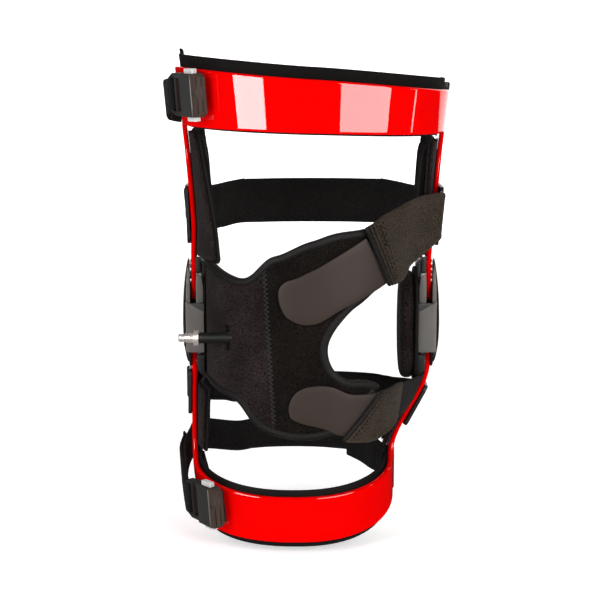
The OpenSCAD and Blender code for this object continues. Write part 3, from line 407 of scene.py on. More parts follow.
class Surface:
    """A leg-shaped surface, addressed by the arc length s from the front and the height z. The
    arc lengths are those of one section of the given half width, front and rear depth; band_back
    is the rear depth at the band and back(z) the rear depth at a height."""

    def __init__(self, point, width, front, rear, band_back=None, back=None):
        self.point = point
        self.front = front
        self.band_back = band_back
        self.back = back
        self.phi = np.linspace(-180, 180, 14401)
        line = section(0, width, front, rear, self.phi, 0)
        self.s = run_length(line)
        self.s -= np.interp(0, self.phi, self.s)
        self.side = np.interp(90, self.phi, self.s)

    def s_of(self, phi):
        return np.interp(phi, self.phi, self.s)

    def phi_of(self, s):
        return np.interp(s, self.s, self.phi)

    def at(self, s, z, off):
        return self.point(self.phi_of(s), z, off)

    def flat(self, phi_z):
        """(phi, z) pairs as (s, z) pairs."""
        pairs = np.array(phi_z, float)
        return np.stack([self.s_of(pairs[:, 0]), pairs[:, 1]], -1)


THIGH = Surface(thigh_point, 88, THIGH_FRONT, 66, 80, thigh_back)
SHIN = Surface(shin_point, 70, SHIN_FRONT, 66, 68, shin_back)
KNEE = Surface(knee_point, KNEE_HALF, KNEE_FRONT, KNEE_FRONT)


# ---------------------------------------------------------------- mesh builders
def new_mesh(name, verts, faces, mat, uv=None):
    mesh = bpy.data.meshes.new(name)
    mesh.from_pydata((np.asarray(verts, float) * MM).tolist(), [], [tuple(int(i) for i in f) for f in faces])
    mesh.materials.append(mat)
    if uv is not None:
        layer = mesh.uv_layers.new(name="UVMap")
        index = np.zeros(len(mesh.loops), np.int32)
        mesh.loops.foreach_get("vertex_index", index)
        layer.data.foreach_set("uv", (np.asarray(uv)[index] / 10).astype(np.float32).ravel())
    mesh.validate()
    mesh.polygons.foreach_set("use_smooth", [True] * len(mesh.polygons))
    obj = bpy.data.objects.new(name, mesh)
    scene.collection.objects.link(obj)
    return obj


def signed_area(loop):
    x, y = loop[:, 0], loop[:, 1]
    return 0.5 * np.sum(x * np.roll(y, -1) - y * np.roll(x, -1))


def value_at(at, dist, values):
    """Interpolates rows of three values, which are given at the distances dist."""
    return np.array([np.interp(at, dist, values[:, k]) for k in range(3)])


def resample(loop, step):
    closed = np.vstack([loop, loop[:1]])
    dist = run_length(closed)
    count = max(12, int(round(dist[-1] / step)))
    at = np.linspace(0, dist[-1], count, endpoint=False)
    return np.stack([np.interp(at, dist, closed[:, k]) for k in (0, 1)], -1)


def rounded(corners, step):
    """Closed polygon from (x, y, radius) corners, each rounded by an arc."""
    c = np.array(corners, float)
    out = []
    for i in range(len(c)):
        p, r = c[i, :2], c[i, 2]
        if r <= 0:
            out.append(p)
            continue
        before, after = c[i - 1], c[(i + 1) % len(c)]
        a, b = before[:2] - p, after[:2] - p
        la, lb = np.linalg.norm(a), np.linalg.norm(b)
        a, b = a / la, b / lb
        half = math.acos(max(-1, min(1, float(a @ b)))) / 2
        cut = min(r / math.tan(half), la * (0.49 if before[2] > 0 else 1), lb * (0.49 if after[2] > 0 else 1))
        t = np.linspace(0, 1, 9)[:, None]
        start, end = p + a * cut, p + b * cut
        w = math.sin(half)
        out.extend(((1 - t) ** 2 * start + 2 * w * t * (1 - t) * p + t ** 2 * end)
                   / ((1 - t) ** 2 + 2 * w * t * (1 - t) + t ** 2))
    return resample(np.array(out), step)


def inward(loop):
    """Unit normals of a closed loop, to its left."""
    d = np.roll(loop, -1, 0) - np.roll(loop, 1, 0)
    d /= np.linalg.norm(d, axis=1)[:, None]
    return np.stack([-d[:, 1], d[:, 0]], -1)


def is_inside(points, loop):
    x, y = points[:, 0][:, None], points[:, 1][:, None]
    a, b = loop, np.roll(loop, -1, 0)
    cross = (a[:, 1] > y) != (b[:, 1] > y)
    with np.errstate(divide="ignore", invalid="ignore"):
        at = a[:, 0] + (y - a[:, 1]) * (b[:, 0] - a[:, 0]) / (b[:, 1] - a[:, 1])
    return (cross & (x < at)).sum(1) % 2 == 1


def distance_to(points, loop):
    out = np.full(len(points), 1e9)
    a, b = loop, np.roll(loop, -1, 0)
    d = b - a
    dd = (d ** 2).sum(1)
    for i in range(0, len(points), 2000):
        p = points[i:i + 2000, None, :] - a
        t = np.clip((p * d).sum(2) / dd, 0, 1)
        out[i:i + 2000] = np.sqrt(((p - t[..., None] * d) ** 2).sum(2)).min(1)
    return out


def panel(name, loop, place, low, high, mat, holes=(), edge=None, spacing=3.0, top=None, bottom=None, steps=4,
          sharp=False):
    """Closed sheet cut to a 2-D outline and laid on a surface. place(s, z, off) gives its
    points; low and high are the offsets of its faces, edge the radius of its rim. top and
    bottom are functions of the distance from the rim that swell the two faces."""
    edge = edge or (high - low) / 2 * 0.98
    outlines = [np.asarray(loop) if signed_area(loop) > 0 else np.asarray(loop)[::-1]]
    outlines += [np.asarray(h)[::-1] if signed_area(h) > 0 else np.asarray(h) for h in holes]
    verts, uvs, faces, inner, inner_ids = [], [], [], [], []
    lift = [top or (lambda d: 0 * d), bottom or (lambda d: 0 * d)]
    lean_of = []

    def add(points, off):
        start = sum(len(v) for v in verts)
        verts.append(place(points[:, 0], points[:, 1], off))
        uvs.append(points)
        return np.arange(start, start + len(points))

    for line in outlines:
        n = inward(line)
        ids = [[], []]
        for k in range(steps + 1):
            angle = math.pi / 2 * k / steps
            d = edge * (1 - math.cos(angle))
            h = edge * (1 - math.sin(angle))
            ring = line + n * d
            ids[0].append(add(ring, high - h))
            ids[1].append(add(ring, low + h))
            lean_of.append((ids[0][-1], math.sin(angle), -n))
            lean_of.append((ids[1][-1], -math.sin(angle), -n))
        for k in range(steps):
            for side in (0, 1):
                a, b = ids[side][k], ids[side][k + 1]
                quads = np.stack([a, np.roll(a, -1), np.roll(b, -1), b], -1)
                faces.extend(quads if side == 0 else quads[:, ::-1])
        a, b = ids[1][0], ids[0][0]
        faces.extend(np.stack([a, np.roll(a, -1), np.roll(b, -1), b], -1))
        inner.append(ring)
        inner_ids.append((ids[0][-1], ids[1][-1]))

    lo, hi = inner[0].min(0), inner[0].max(0)
    xs, ys = np.arange(lo[0], hi[0], spacing), np.arange(lo[1], hi[1], spacing * 0.87)
    grid = np.stack(np.meshgrid(xs, ys), -1).astype(float)
    grid[1::2, :, 0] += spacing / 2
    grid = grid.reshape(-1, 2)
    keep = is_inside(grid, inner[0])
    for ring in inner[1:]:
        keep &= ~is_inside(grid, ring)
    grid = grid[keep]
    for ring in inner:
        grid = grid[distance_to(grid, ring) > spacing * 0.55]
    flat = np.vstack([*inner, grid])
    edges, start = [], 0
    for ring in inner:
        n = len(ring)
        edges += [(start + i, start + (i + 1) % n) for i in range(n)]
        start += n
    points, _, tris, origin, _, _ = delaunay_2d_cdt([Vector(p) for p in flat], edges, [], 0, 1e-6)
    points = np.array([(p.x, p.y) for p in points])
    tris = np.array([t for t in tris if len(t) == 3])
    centre = points[tris].mean(1)
    keep = is_inside(centre, inner[0])
    for ring in inner[1:]:
        keep &= ~is_inside(centre, ring)
    tris = tris[keep]
    p0, p1, p2 = points[tris[:, 0]], points[tris[:, 1]], points[tris[:, 2]]
    cross = (p1[:, 0] - p0[:, 0]) * (p2[:, 1] - p0[:, 1]) - (p1[:, 1] - p0[:, 1]) * (p2[:, 0] - p0[:, 0])
    tris[cross < 0] = tris[cross < 0][:, ::-1]
    depth = np.min([distance_to(points, line) for line in outlines], 0)
    rim_top = np.concatenate([i[0] for i in inner_ids])
    rim_low = np.concatenate([i[1] for i in inner_ids])
    for side, rim in ((0, rim_top), (1, rim_low)):
        off = high + lift[0](depth) if side == 0 else low - lift[1](depth)
        ids = add(points, off)
        lean_of.append((ids, 1 if side == 0 else -1, (0, 0)))
        for new, olds in enumerate(origin):
            for old in olds:
                if old < len(rim):
                    ids[new] = rim[old]
        mapped = ids[tris]
        faces.extend(mapped if side == 0 else mapped[:, ::-1])
    verts, uvs = np.vstack(verts), np.vstack(uvs)
    used = np.unique(np.concatenate([np.ravel(f) for f in faces]))
    new_id = np.full(len(verts), -1)
    new_id[used] = np.arange(len(used))
    obj = new_mesh(name, verts[used], [new_id[np.asarray(f)] for f in faces], mat, uvs[used])
    if sharp:
        exact_normals(obj, uvs, lean_of, place, used)
    return obj


def exact_normals(obj, flat, lean_of, place, used):
    """Gives a panel the true normals of its surface. lean_of holds, for each point, its share
    of the face normal and its outward direction in the plane."""
    share = np.zeros(len(flat))
    out = np.zeros((len(flat), 2))
    for ids, value, direction in lean_of:
        share[ids], out[ids] = value, direction
    s, z, h = flat[:, 0], flat[:, 1], 0.05
    along = place(s + h, z, 0) - place(s - h, z, 0)
    up = place(s, z + h, 0) - place(s, z - h, 0)
    along /= np.linalg.norm(along, axis=1)[:, None]
    up /= np.linalg.norm(up, axis=1)[:, None]
    face = np.cross(along, up)
    normal = face * share[:, None] + (along * out[:, :1] + up * out[:, 1:]) * np.sqrt(1 - share ** 2)[:, None]
    normal /= np.linalg.norm(normal, axis=1)[:, None]
    obj.data.normals_split_custom_set_from_vertices([Vector(n) for n in normal[used]])


def sweep(name, loops, mat, closed=False):
    """Skin over loops of points of the same length, with flat ends unless closed."""
    loops = np.asarray(loops, float)
    n, m = loops.shape[:2]
    run = run_length(loops.mean(1))
    round_ = run_length(loops[0])
    uv = np.stack(np.meshgrid(run, round_, indexing="ij"), -1).reshape(-1, 2)
    faces = []
    for i in range(n if closed else n - 1):
        a = i * m + np.arange(m)
        b = ((i + 1) % n) * m + np.arange(m)
        faces.extend(np.stack([a, np.roll(a, -1), np.roll(b, -1), b], -1))
    if not closed:
        faces.append(np.arange(m)[::-1])
        faces.append((n - 1) * m + np.arange(m))
    obj = new_mesh(name, loops.reshape(-1, 3), faces, mat, uv)
    fix_normals(obj)
    return obj


def fix_normals(obj):
    bm = bmesh.new()
    bm.from_mesh(obj.data)
    bmesh.ops.recalc_face_normals(bm, faces=bm.faces)
    bm.to_mesh(obj.data)
    bm.free()


def join(name, parts):
    """One object from several made by new_mesh, which keeps their materials."""
    bpy.ops.object.select_all(action="DESELECT")
    for p in parts:
        p.select_set(True)
    bpy.context.view_layer.objects.active = parts[0]
    bpy.ops.object.join()
    parts[0].name = name
    parts[0].data.name = name
    return parts[0]


def smooth_rows(rows, steps):
    """Catmull-Rom curve through rows of points."""
    p = np.asarray(rows, float)
    out = []
    for i in range(len(p) - 1):
        a, b, c, d = p[max(i - 1, 0)], p[i], p[i + 1], p[min(i + 2, len(p) - 1)]
        for t in np.linspace(0, 1, steps, endpoint=False):
            out.append(0.5 * (2 * b + (c - a) * t + (2 * a - 5 * b + 4 * c - d) * t ** 2
                              + (3 * b - a - 3 * c + d) * t ** 3))
    return np.array(out + [p[-1]])


def band_normals(grid):
    down = np.gradient(grid, axis=1)
    along = np.gradient(grid, axis=0)
    n = np.cross(down, along)
    return n / np.linalg.norm(n, axis=2)[..., None]


def ribbon(name, rows, t, mat, steps, across):
    """Strap through rows of points, each row across it with its top edge first. It has
    rounded selvedges that stand a little proud."""
    grid = smooth_rows(rows, steps)
    want = np.linspace(0, grid.shape[1] - 1, across)
    low = np.floor(want).astype(int).clip(0, grid.shape[1] - 2)
    f = (want - low)[None, :, None]
    grid = grid[:, low] * (1 - f) + grid[:, low + 1] * f
    n = band_normals(grid)
    u = np.linspace(0, 1, across)
    raised = 0.25 * np.exp(-((np.minimum(u, 1 - u) - 0.07) / 0.035) ** 2)
    round_edge = np.clip(np.minimum(u, 1 - u) / 0.04, 0, 1) ** 0.5
    half = (t / 2 * (0.35 + 0.65 * round_edge) + raised)[None, :, None]
    mid = grid + n * t / 2
    top, bottom = mid + n * half, mid - n * (half - raised[None, :, None])
    loops = np.concatenate([top, bottom[:, ::-1]], 1)
    obj = sweep(name, loops, mat)
    return obj, mid + n * half, n


def capsules(name, places, mat, radius):
    """Short rounded threads. places are (centre, direction, length, normal)."""
    ring = 6
    verts, faces = [], []
    for centre, direction, length, normal in places:
        d = direction / np.linalg.norm(direction)
        n = normal - d * (normal @ d)
        n /= np.linalg.norm(n)
        b = np.cross(d, n)
        start = len(verts)
        stations = ((-0.5, 0.35, -0.55), (-0.36, 0.9, 0.0), (0, 1.0, 0.35), (0.36, 0.9, 0.0),
                    (0.5, 0.35, -0.55))
        for f, k, up in stations:
            for a in np.arange(ring) * 2 * math.pi / ring:
                verts.append(centre + d * f * length + n * up * radius
                             + (n * math.cos(a) + b * math.sin(a)) * radius * k)
        for s in range(len(stations) - 1):
            for j in range(ring):
                a, c = start + s * ring + j, start + s * ring + (j + 1) % ring
                faces.append((a, c, c + ring, a + ring))
        faces.append(tuple(start + j for j in range(ring))[::-1])
        faces.append(tuple(start + (len(stations) - 1) * ring + j for j in range(ring)))
    obj = new_mesh(name, verts, faces, mat)
    fix_normals(obj)
    return obj


def stitch_line(points, normals, length, gap):
    """Places for capsules() along a line of surface points."""
    p = np.asarray(points)
    dist = run_length(p)
    places = []
    for at in np.arange(length / 2, dist[-1] - length / 2, length + gap):
        direction = value_at(at + length / 2, dist, p) - value_at(at - length / 2, dist, p)
        places.append((value_at(at, dist, p), direction, length, value_at(at, dist, normals)))
    return places


def surface_line(surf, flat, off):
    """Points and outward normals along a line of (s, z) pairs on a surface."""
    flat = np.asarray(flat, float)
    p = surf.at(flat[:, 0], flat[:, 1], off)
    q = surf.at(flat[:, 0], flat[:, 1], off + 1)
    n = q - p
    return p, n / np.linalg.norm(n, axis=1)[:, None]


def bevel(obj, width):
    mod = obj.modifiers.new("bevel", "BEVEL")
    mod.width = width * MM
    mod.segments = 3
    mod.limit_method = "ANGLE"
    mod.angle_limit = math.radians(35)
    mod.use_clamp_overlap = True
    mod = obj.modifiers.new("normals", "WEIGHTED_NORMAL")
    mod.keep_sharp = False


def finish(obj, body, *nodes, slot=None):
    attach(obj, body)
    if nodes:
        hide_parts(*nodes)


# ---------------------------------------------------------------- frames
def phi_of_y(y, depth):
    return np.degrees(np.arccos(spow(-y / depth, 1 / SECTION_EXP)))


def wall_place(surf, flat_from, flat_to):
    """Placing function for panels on a leg surface. s runs along the section; past the side
    it is the distance behind the hinge line. Uprights are flat across at heights flat_to and
    beyond, and follow the section up to flat_from."""
    def place(s, z, off):
        s, z, off = spread(s, z, off)
        side = np.where(s < 0, -1.0, 1.0)
        y = np.abs(s) - surf.side
        phi_front = np.abs(surf.phi_of(s))
        phi_back = phi_of_y(np.maximum(y, 0), surf.back(z))
        phi = np.where(y > 0, phi_back, phi_front) * side
        on_leg = surf.point(phi, z, off)
        x_flat = surf.point(90 * side, z, off)[..., 0]
        w = ease((z - flat_from) / (flat_to - flat_from)) * (np.abs(y) < 30)
        return np.stack([lerp(on_leg[..., 0], x_flat, w), lerp(on_leg[..., 1], y, w), z], -1)
    return place


thigh_wall = wall_place(THIGH, 124, 112)
shin_wall = wall_place(SHIN, -84, -72)


def thigh_far(phi):
    return 170.5 - 8 * np.sin(np.radians(phi))


def thigh_near(phi):
    return 136.5 - 2.8 * np.sin(np.radians(phi))


def shin_far(phi):
    return -139.5 + np.where(phi > 0, 18, 8) * (1 - np.cos(np.radians(phi)))


def shin_near(phi):
    return -108 + 15.5 * (1 - np.cos(np.radians(phi)))


def frame_loop(surf, far, near, down):
    """Outline of a frame in (s, z). down is -1 where the uprights hang below the band."""
    side = surf.side
    halves = []
    for sign in (1, -1):
        def phi_at(s):
            y = s - side
            behind = phi_of_y(np.maximum(y, 0), surf.band_back)
            return sign * np.where(y > 0, behind, surf.phi_of(np.minimum(s, side)))
        pts = []
        for s in np.arange(0, side - 24, 2.0):
            pts.append((s, float(near(phi_at(s)))))
        for y in np.linspace(-24, -9, 14):
            d = -y - 9
            reach = 15 - math.sqrt(max(0, 225 - (15 - d) ** 2))
            pts.append((side + y, float(near(phi_at(side + y))) + down * reach))
        base = float(near(sign * 90)) + down * 15
        end = -down * 17.5

        def half_of(z):
            return 8 + float(ease((abs(z) - 40) / 60))
        for z in np.linspace(base, end - down * 2, 40)[1:]:
            pts.append((side - half_of(z), z))
        for a in np.linspace(0, math.pi / 2, 5)[1:]:
            pts.append((side - 8 + 2 * (1 - math.cos(a)), end - down * 2 * (1 - math.sin(a))))
        for a in np.linspace(0, math.pi / 2, 5):
            pts.append((side + 6 + 2 * math.sin(a), end - down * 2 * (1 - math.cos(a))))
        low = float(near(sign * 93)) + down * 6
        for z in np.linspace(end - down * 2, low, 40)[1:]:
            pts.append((side + half_of(z), z))
        for y in np.linspace(9, 15, 7)[1:]:
            d = y - 9
            reach = 6 - math.sqrt(max(0, 36 - (6 - d) ** 2))
            pts.append((side + y, float(near(phi_at(side + y))) + down * reach))
        for a in np.linspace(0, math.pi / 2, 9):
            y = 15 - 7 * (1 - math.cos(a))
            pts.append((side + y, float(far(phi_at(side + y))) + down * 7 * (1 - math.sin(a))))
        for s in np.arange(side + 6, 0, -2.0):
            pts.append((s, float(far(phi_at(s)))))
        pts = np.array(pts)
        pts[:, 0] *= sign
        halves.append(pts)
    return resample(np.vstack([halves[0], halves[1][::-1]]), 1.5)


for body, outline, wall in (("thigh", frame_loop(THIGH, thigh_far, thigh_near, -1), thigh_wall),
                            ("shin", frame_loop(SHIN, shin_far, shin_near, 1), shin_wall)):
    shell = panel(body + "_frame_shell", outline, wall, -1.75, 1.75, M["red"], edge=1.6, spacing=2.5,
                  sharp=True)
    finish(shell, body, body + "_frame", slot="frame_red")


# ---------------------------------------------------------------- padded pieces
to_inflate = []


def cushion(name, loop, place, low, high, mat, body, nodes, swell, voxel=3.0, cap=1.2):
    """Padded piece that is blown up by a cloth simulation once all of them are made."""
    obj = panel(name, loop, place, low, high, mat, edge=min(1.5, (high - low) / 2 * 0.9), spacing=4.0,
                top=lambda d: swell * ease(d / 12), bottom=lambda d: swell * ease(d / 12), steps=3)
    to_inflate.append((obj, voxel, cap, body, nodes))
    return obj


def make_active(obj):
    bpy.context.view_layer.objects.active = obj
    bpy.ops.object.select_all(action="DESELECT")
    obj.select_set(True)


def inflate_all():
    """Voxel remesh, pressure simulation with a capped movement, result applied, one subdivision."""
    for obj, voxel, *_ in to_inflate:
        mod = obj.modifiers.new("remesh", "REMESH")
        mod.mode = "VOXEL"
        mod.voxel_size = voxel * MM
        mod.use_smooth_shade = True
        make_active(obj)
        bpy.ops.object.modifier_apply(modifier="remesh")
        smooth = obj.modifiers.new("relax", "SMOOTH")
        smooth.factor = 0.5
        smooth.iterations = 3
        bpy.ops.object.modifier_apply(modifier="relax")
    rest = {}
    for obj, *_ in to_inflate:
        co = np.zeros(len(obj.data.vertices) * 3)
        obj.data.vertices.foreach_get("co", co)
        rest[obj.name] = co.reshape(-1, 3)
        mod = obj.modifiers.new("cloth", "CLOTH")
        cloth = mod.settings
        cloth.quality = 4
        cloth.mass = 0.15
        cloth.tension_stiffness = 12
        cloth.compression_stiffness = 12
        cloth.shear_stiffness = 6
        cloth.bending_stiffness = 0.4
        cloth.use_pressure = True
        cloth.uniform_pressure_force = 4
        cloth.effector_weights.gravity = 0
        mod.collision_settings.use_collision = False
        mod.point_cache.frame_start = 1
        mod.point_cache.frame_end = 20
    scene.frame_start, scene.frame_end = 1, 20
    for f in range(1, 15):
        scene.frame_set(f)
    deps = bpy.context.evaluated_depsgraph_get()
    for obj, _, cap, *_ in to_inflate:
        final = obj.evaluated_get(deps).data
        co = np.zeros(len(final.vertices) * 3)
        final.vertices.foreach_get("co", co)
        start = rest[obj.name]
        move = co.reshape(-1, 3) - start
        length = np.linalg.norm(move, axis=1)
        limit = cap * MM
        scale = np.where(length > 1e-9, limit * np.tanh(length / limit) / np.maximum(length, 1e-9), 0)
        obj.modifiers.remove(obj.modifiers["cloth"])
        obj.data.vertices.foreach_set("co", (start + move * scale[:, None]).ravel())
        obj.data.update()
    scene.frame_set(1)
    for obj, _, _, body, nodes in to_inflate:
        mod = obj.modifiers.new("subdivide", "SUBSURF")
        mod.levels = mod.render_levels = 1
        make_active(obj)
        bpy.ops.object.modifier_apply(modifier="subdivide")
        finish(obj, body, *nodes, slot="liner")


def band_loop(surf, far, near, far_extra, near_extra, inset=0.0, radius=5.0, tab=False):
    """Outline of a liner in (s, z), with a small tab at its outer end if asked. It ends a
    little behind the side, and stands far_extra and near_extra over the band's two edges."""
    side, back = surf.side, surf.band_back
    end = side - back * float(spow(math.cos(math.radians(97)), SECTION_EXP)) - inset
    s = np.linspace(-end, end, 140)
    behind = np.sign(s) * phi_of_y(np.maximum(np.abs(s) - side, 0), back)
    phi = np.where(np.abs(s) > side, behind, surf.phi_of(s))
    top = far(phi) + far_extra - inset * np.sign(far_extra)
    low = near(phi) + near_extra - inset * np.sign(near_extra)
    if top[0] < low[0]:
        top, low = low, top
    pts = [(a, b, 0) for a, b in zip(s, low)] + [(a, b, 0) for a, b in zip(s[::-1], top[::-1])]
    n = len(s)
    for k in (0, n - 1, n, 2 * n - 1):
        pts[k] = (*pts[k][:2], radius)
    if tab:
        s0, z0 = pts.pop()[:2]
        pts = [p for p in pts if p[0] > s0 + 9 or p[1] < z0 - 20]
        pts += [(s0 + 8.5, z0 - 0.4, 1.2), (s0 + 7.2, z0 + 3.8, 0.9), (s0 - 1.0, z0 + 3.0, 0.9)]
    return rounded(pts, 1.6)


# Liners: a pressed flange next to the frame, with a cushion on its inner face
thigh_liner_wall = wall_place(THIGH, 0, -1)
shin_liner_wall = wall_place(SHIN, -200, -201)
thigh_flange = panel("thigh_liner_flange",
                     band_loop(THIGH, thigh_far, thigh_near, 8, -1.2, radius=9, tab=True),
                     thigh_liner_wall, -4.2, -2.3, M["foam"], edge=0.9, spacing=4)
finish(thigh_flange, "thigh")
cushion("thigh_liner_pad", band_loop(THIGH, thigh_far, thigh_near, 8, -1.2, 3.0, 7.0), thigh_liner_wall,
        -7.4, -4.0, M["foam"], "thigh", ["thigh_liner"], swell=0.6)
shin_flange = panel("shin_liner_flange", band_loop(SHIN, shin_far, shin_near, -4, 4),
                    shin_liner_wall, -4.2, -2.3, M["flange"], edge=0.9, spacing=4)
finish(shin_flange, "shin")
cushion("shin_liner_pad", band_loop(SHIN, shin_far, shin_near, -4, 4, 2.5, 4.0), shin_liner_wall,
        -7.4, -4.0, M["foam"], "shin", ["shin_liner"], swell=0.6)


def side_pad(name, body, surf, side, z0, z1, front0, front1, back_phi, off, t):
    """Pad inside an upright: a pressed flange, a loop-pile backing towards the upright and a
    blown-up cushion on the inner face. Its front edge runs from the angle front0 at its top to
    front1 at its foot, and its rear edge is at back_phi."""
    def y_of(phi, z):
        k = math.cos(math.radians(phi))
        depth = surf.front if k > 0 else float(surf.back(z))
        return -depth * float(spow(k, SECTION_EXP))

    def loop(inset):
        zs = np.linspace(z0 - inset, z1 + inset, 24)
        rate = [(z0 - z) / (z0 - z1) for z in zs]
        front = [(surf.side + y_of(lerp(front0, front1, r), z) + inset, z) for r, z in zip(rate, zs)]
        rear = [(surf.side + y_of(back_phi, z) - inset, z) for z in zs]
        pts = [(*p, 0) for p in front] + [(*p, 0) for p in rear[::-1]]
        for k in (0, 23, 24, 47):
            pts[k] = (*pts[k][:2], 9.0 - inset)
        out = rounded(pts, 1.5)
        out[:, 0] *= side
        return out

    def place(s, z, o):
        s, z, o = spread(s, z, o)
        y = np.abs(s) - surf.side
        phi = np.where(y > 0, phi_of_y(np.maximum(y, 0), surf.back(z)),
                       phi_of_y(np.minimum(y, 0), surf.front))
        return surf.point(phi * side, z, o)

    flange = panel(name + "_flange", loop(0.0), place, off - 1.8, off, M["flange"], edge=0.85, spacing=4)
    finish(flange, body)
    backing = panel(name + "_backing", loop(2.0), place, off + 0.05, -2.0, M["pile"], edge=0.7, spacing=4)
    finish(backing, body)
    cushion(name + "_cushion", loop(3.2), place, off - t + 0.8, off - 1.4, M["moulded"], body, [name],
            voxel=2.6, cap=1.0, swell=0.5)


side_pad("lateral_thigh_pad", "thigh", THIGH, -1, 136, 48.5, 67, 50, 112, -4.5, 6)
side_pad("medial_thigh_pad", "thigh", THIGH, 1, 130.5, 48.5, 68, 76, 112, -4.5, 6)
side_pad("lateral_shin_pad", "shin", SHIN, -1, -40, -86, 62, 66, 108, -4, 5)
side_pad("medial_shin_pad", "shin", SHIN, 1, -52, -84, 72, 72, 108, -4.5, 5)


# Condyle pads: an oval cushion on a pressed base
def side_place(side, y0=0.0):
    """Placing function for flat panels beside the knee; off is the distance from its middle."""
    def place(y, z, off):
        y, z, off = spread(y, z, off)
        return np.stack([side * off, y + y0, z], -1)
    return place


def oval(half_y, half_z, step=1.5):
    a = np.linspace(0, 2 * math.pi, 200, endpoint=False)
    y = half_y * np.cos(a)
    z = half_y * np.sin(a) + np.sign(np.sin(a)) * (half_z - half_y)
    return resample(np.stack([y, z], -1), step)


def flat_panel(side, *args, **kwargs):
    obj = panel(*args, **kwargs)
    if side < 0:
        fix_normals(obj)
    return obj


for side, tag, x_in, x_out, y0, tall, voxel, cap in ((-1, "lateral", 55, 61.5, 0.0, 36.5, 2.6, 1.2),
                                                      (1, "medial", 60, 73.3, -2.0, 40.6, 3.5, 2.0)):
    body = tag + "_hinge"
    place = side_place(side, y0)
    base = flat_panel(side, tag + "_condyle_base", oval(26.6, tall), place, x_out - 2.4, x_out - 0.1,
                      M["flange"], edge=1.0, spacing=5)
    finish(base, body)
    pad = cushion(tag + "_condyle_cushion", oval(24.5, tall - 2.1), place, x_in + 1.4, x_out - 1.8, M["pile"],
                  body, [tag + "_condyle_pad"], voxel=voxel, cap=cap, swell=0.5)
    if side < 0:
        fix_normals(pad)

bladder = flat_panel(-1, "air_bladder_film", oval(23.7, 35.7), side_place(-1), 62.8, 64.6, M["film"],
                     edge=0.8, spacing=2.5, top=lambda d: 1.1 * ease((d - 4) / 8),
                     bottom=lambda d: 1.1 * ease((d - 4) / 8))
finish(bladder, "lateral_hinge", "air_bladder", slot="bladder")
inflate_all()

# ---------------------------------------------------------------- kneecap wrap
WRAP_TOP = [(-100, 44), (-84, 46.5), (-70, 47), (-50, 42), (-38, 40), (-30, 43), (-20, 54), (-12, 58),
            (0, 66), (10, 71), (23, 73)]
WRAP_LOW = [(12, -60), (0, -64.5), (-10, -64), (-20, -61), (-29, -55), (-38, -44), (-46, -40), (-56, -38.5),
            (-70, -36), (-100, -34)]
GAP_HIGH = [(24, 26.5), (18, 21.5), (13, 15), (9, 8), (6.5, 1)]
GAP_LOW = [(5.8, -5), (6.5, -12), (9, -19), (13, -23.5), (18, -26.2), (24, -26.6)]


def smooth_open(points, steps=10):
    return smooth_rows(np.array(points, float)[:, None, :], steps)[:, 0]


def wrap_outline():
    top = smooth_open([*WRAP_TOP, (31, 74.5)])
    gap = smooth_open([(36.5, 37.5), (30, 32), *GAP_HIGH, *GAP_LOW, (31, -28.5), (35, -31)])
    low = smooth_open([(14.5, -61.5), *WRAP_LOW])
    flat = KNEE.flat(np.vstack([top, gap, low]))
    return resample(flat, 1.3)


def knee_place(s, z, off):
    return KNEE.at(*spread(s, z, off))


wrap_loop = wrap_outline()[::-1]
tube_s = float(KNEE.s_of(-47.5))
slit = rounded([(tube_s - 2.6, -9.3, 2.0), (tube_s + 1.8, -9.3, 2.0), (tube_s + 1.8, 8.3, 2.0),
                (tube_s - 2.6, 8.3, 2.0)], 0.7)
wrap = panel("kneecap_wrap_body", wrap_loop, knee_place, 0.2, 3.9, M["wrap"], holes=[slit], edge=1.6,
             spacing=2.2, top=lambda d: 0.25 * ease((d - 1.6) / 5))
finish(wrap, "lateral_hinge", "kneecap_wrap", slot="wrap")


def binding(name, loop, place, cross, mat):
    """Strip round an outline. cross gives (inward distance, off) points of its section."""
    loop = loop if signed_area(loop) > 0 else loop[::-1]
    n = inward(loop)
    rings = []
    for d, off in cross:
        ring = loop + n * d
        rings.append(place(ring[:, 0], ring[:, 1], off))
    loops = np.stack(rings, 1)
    return sweep(name, loops, mat, closed=True)


wrap_binding = binding("kneecap_wrap_binding", wrap_loop, knee_place,
                       [(-0.7, 1.4), (-0.75, 2.8), (-0.2, 4.0), (0.9, 4.7), (2.6, 4.85), (4.0, 4.5),
                        (4.5, 3.8),
                        (4.4, 0.3), (3.0, -0.2), (0.6, -0.25), (-0.4, 0.4)], M["binding"])
finish(wrap_binding, "lateral_hinge")

wrap_line = resample(wrap_loop, 1.0)
wrap_stitch_line = wrap_line + inward(wrap_line) * 3.6
points, normals = surface_line(KNEE, wrap_stitch_line, 4.75)
places = stitch_line(points, normals, 2.2, 1.3)
wrap_stitches = capsules("kneecap_wrap_stitches", places, M["thread"], 0.28)
finish(wrap_stitches, "lateral_hinge")

# Zigzag seam between the wrap's two cloths
across = np.linspace(wrap_loop[:, 0].min(), wrap_loop[:, 0].max(), 200)
seam_mid = np.interp(-28.0, knee_place(across, 0, 4)[:, 0], across)
seam_edge = wrap_loop[np.abs(wrap_loop[:, 0] - seam_mid) < 2, 1]
seam_z = np.arange(seam_edge.min() + 7, seam_edge.max() - 7, 1.5)
seam_s = [np.interp(-28 - 0.06 * z, knee_place(across, z, 4)[:, 0], across) for z in seam_z]
seam_s += 1.5 * (-1.0) ** np.arange(len(seam_z))
points, normals = surface_line(KNEE, np.stack([seam_s, seam_z], -1), 4.25)
places = [((a + b) / 2, b - a, float(np.linalg.norm(b - a)), n)
          for a, b, n in zip(points[:-1], points[1:], normals)]
wrap_seam = capsules("kneecap_wrap_seam", places, M["seam"], 0.2)
finish(wrap_seam, "lateral_hinge")
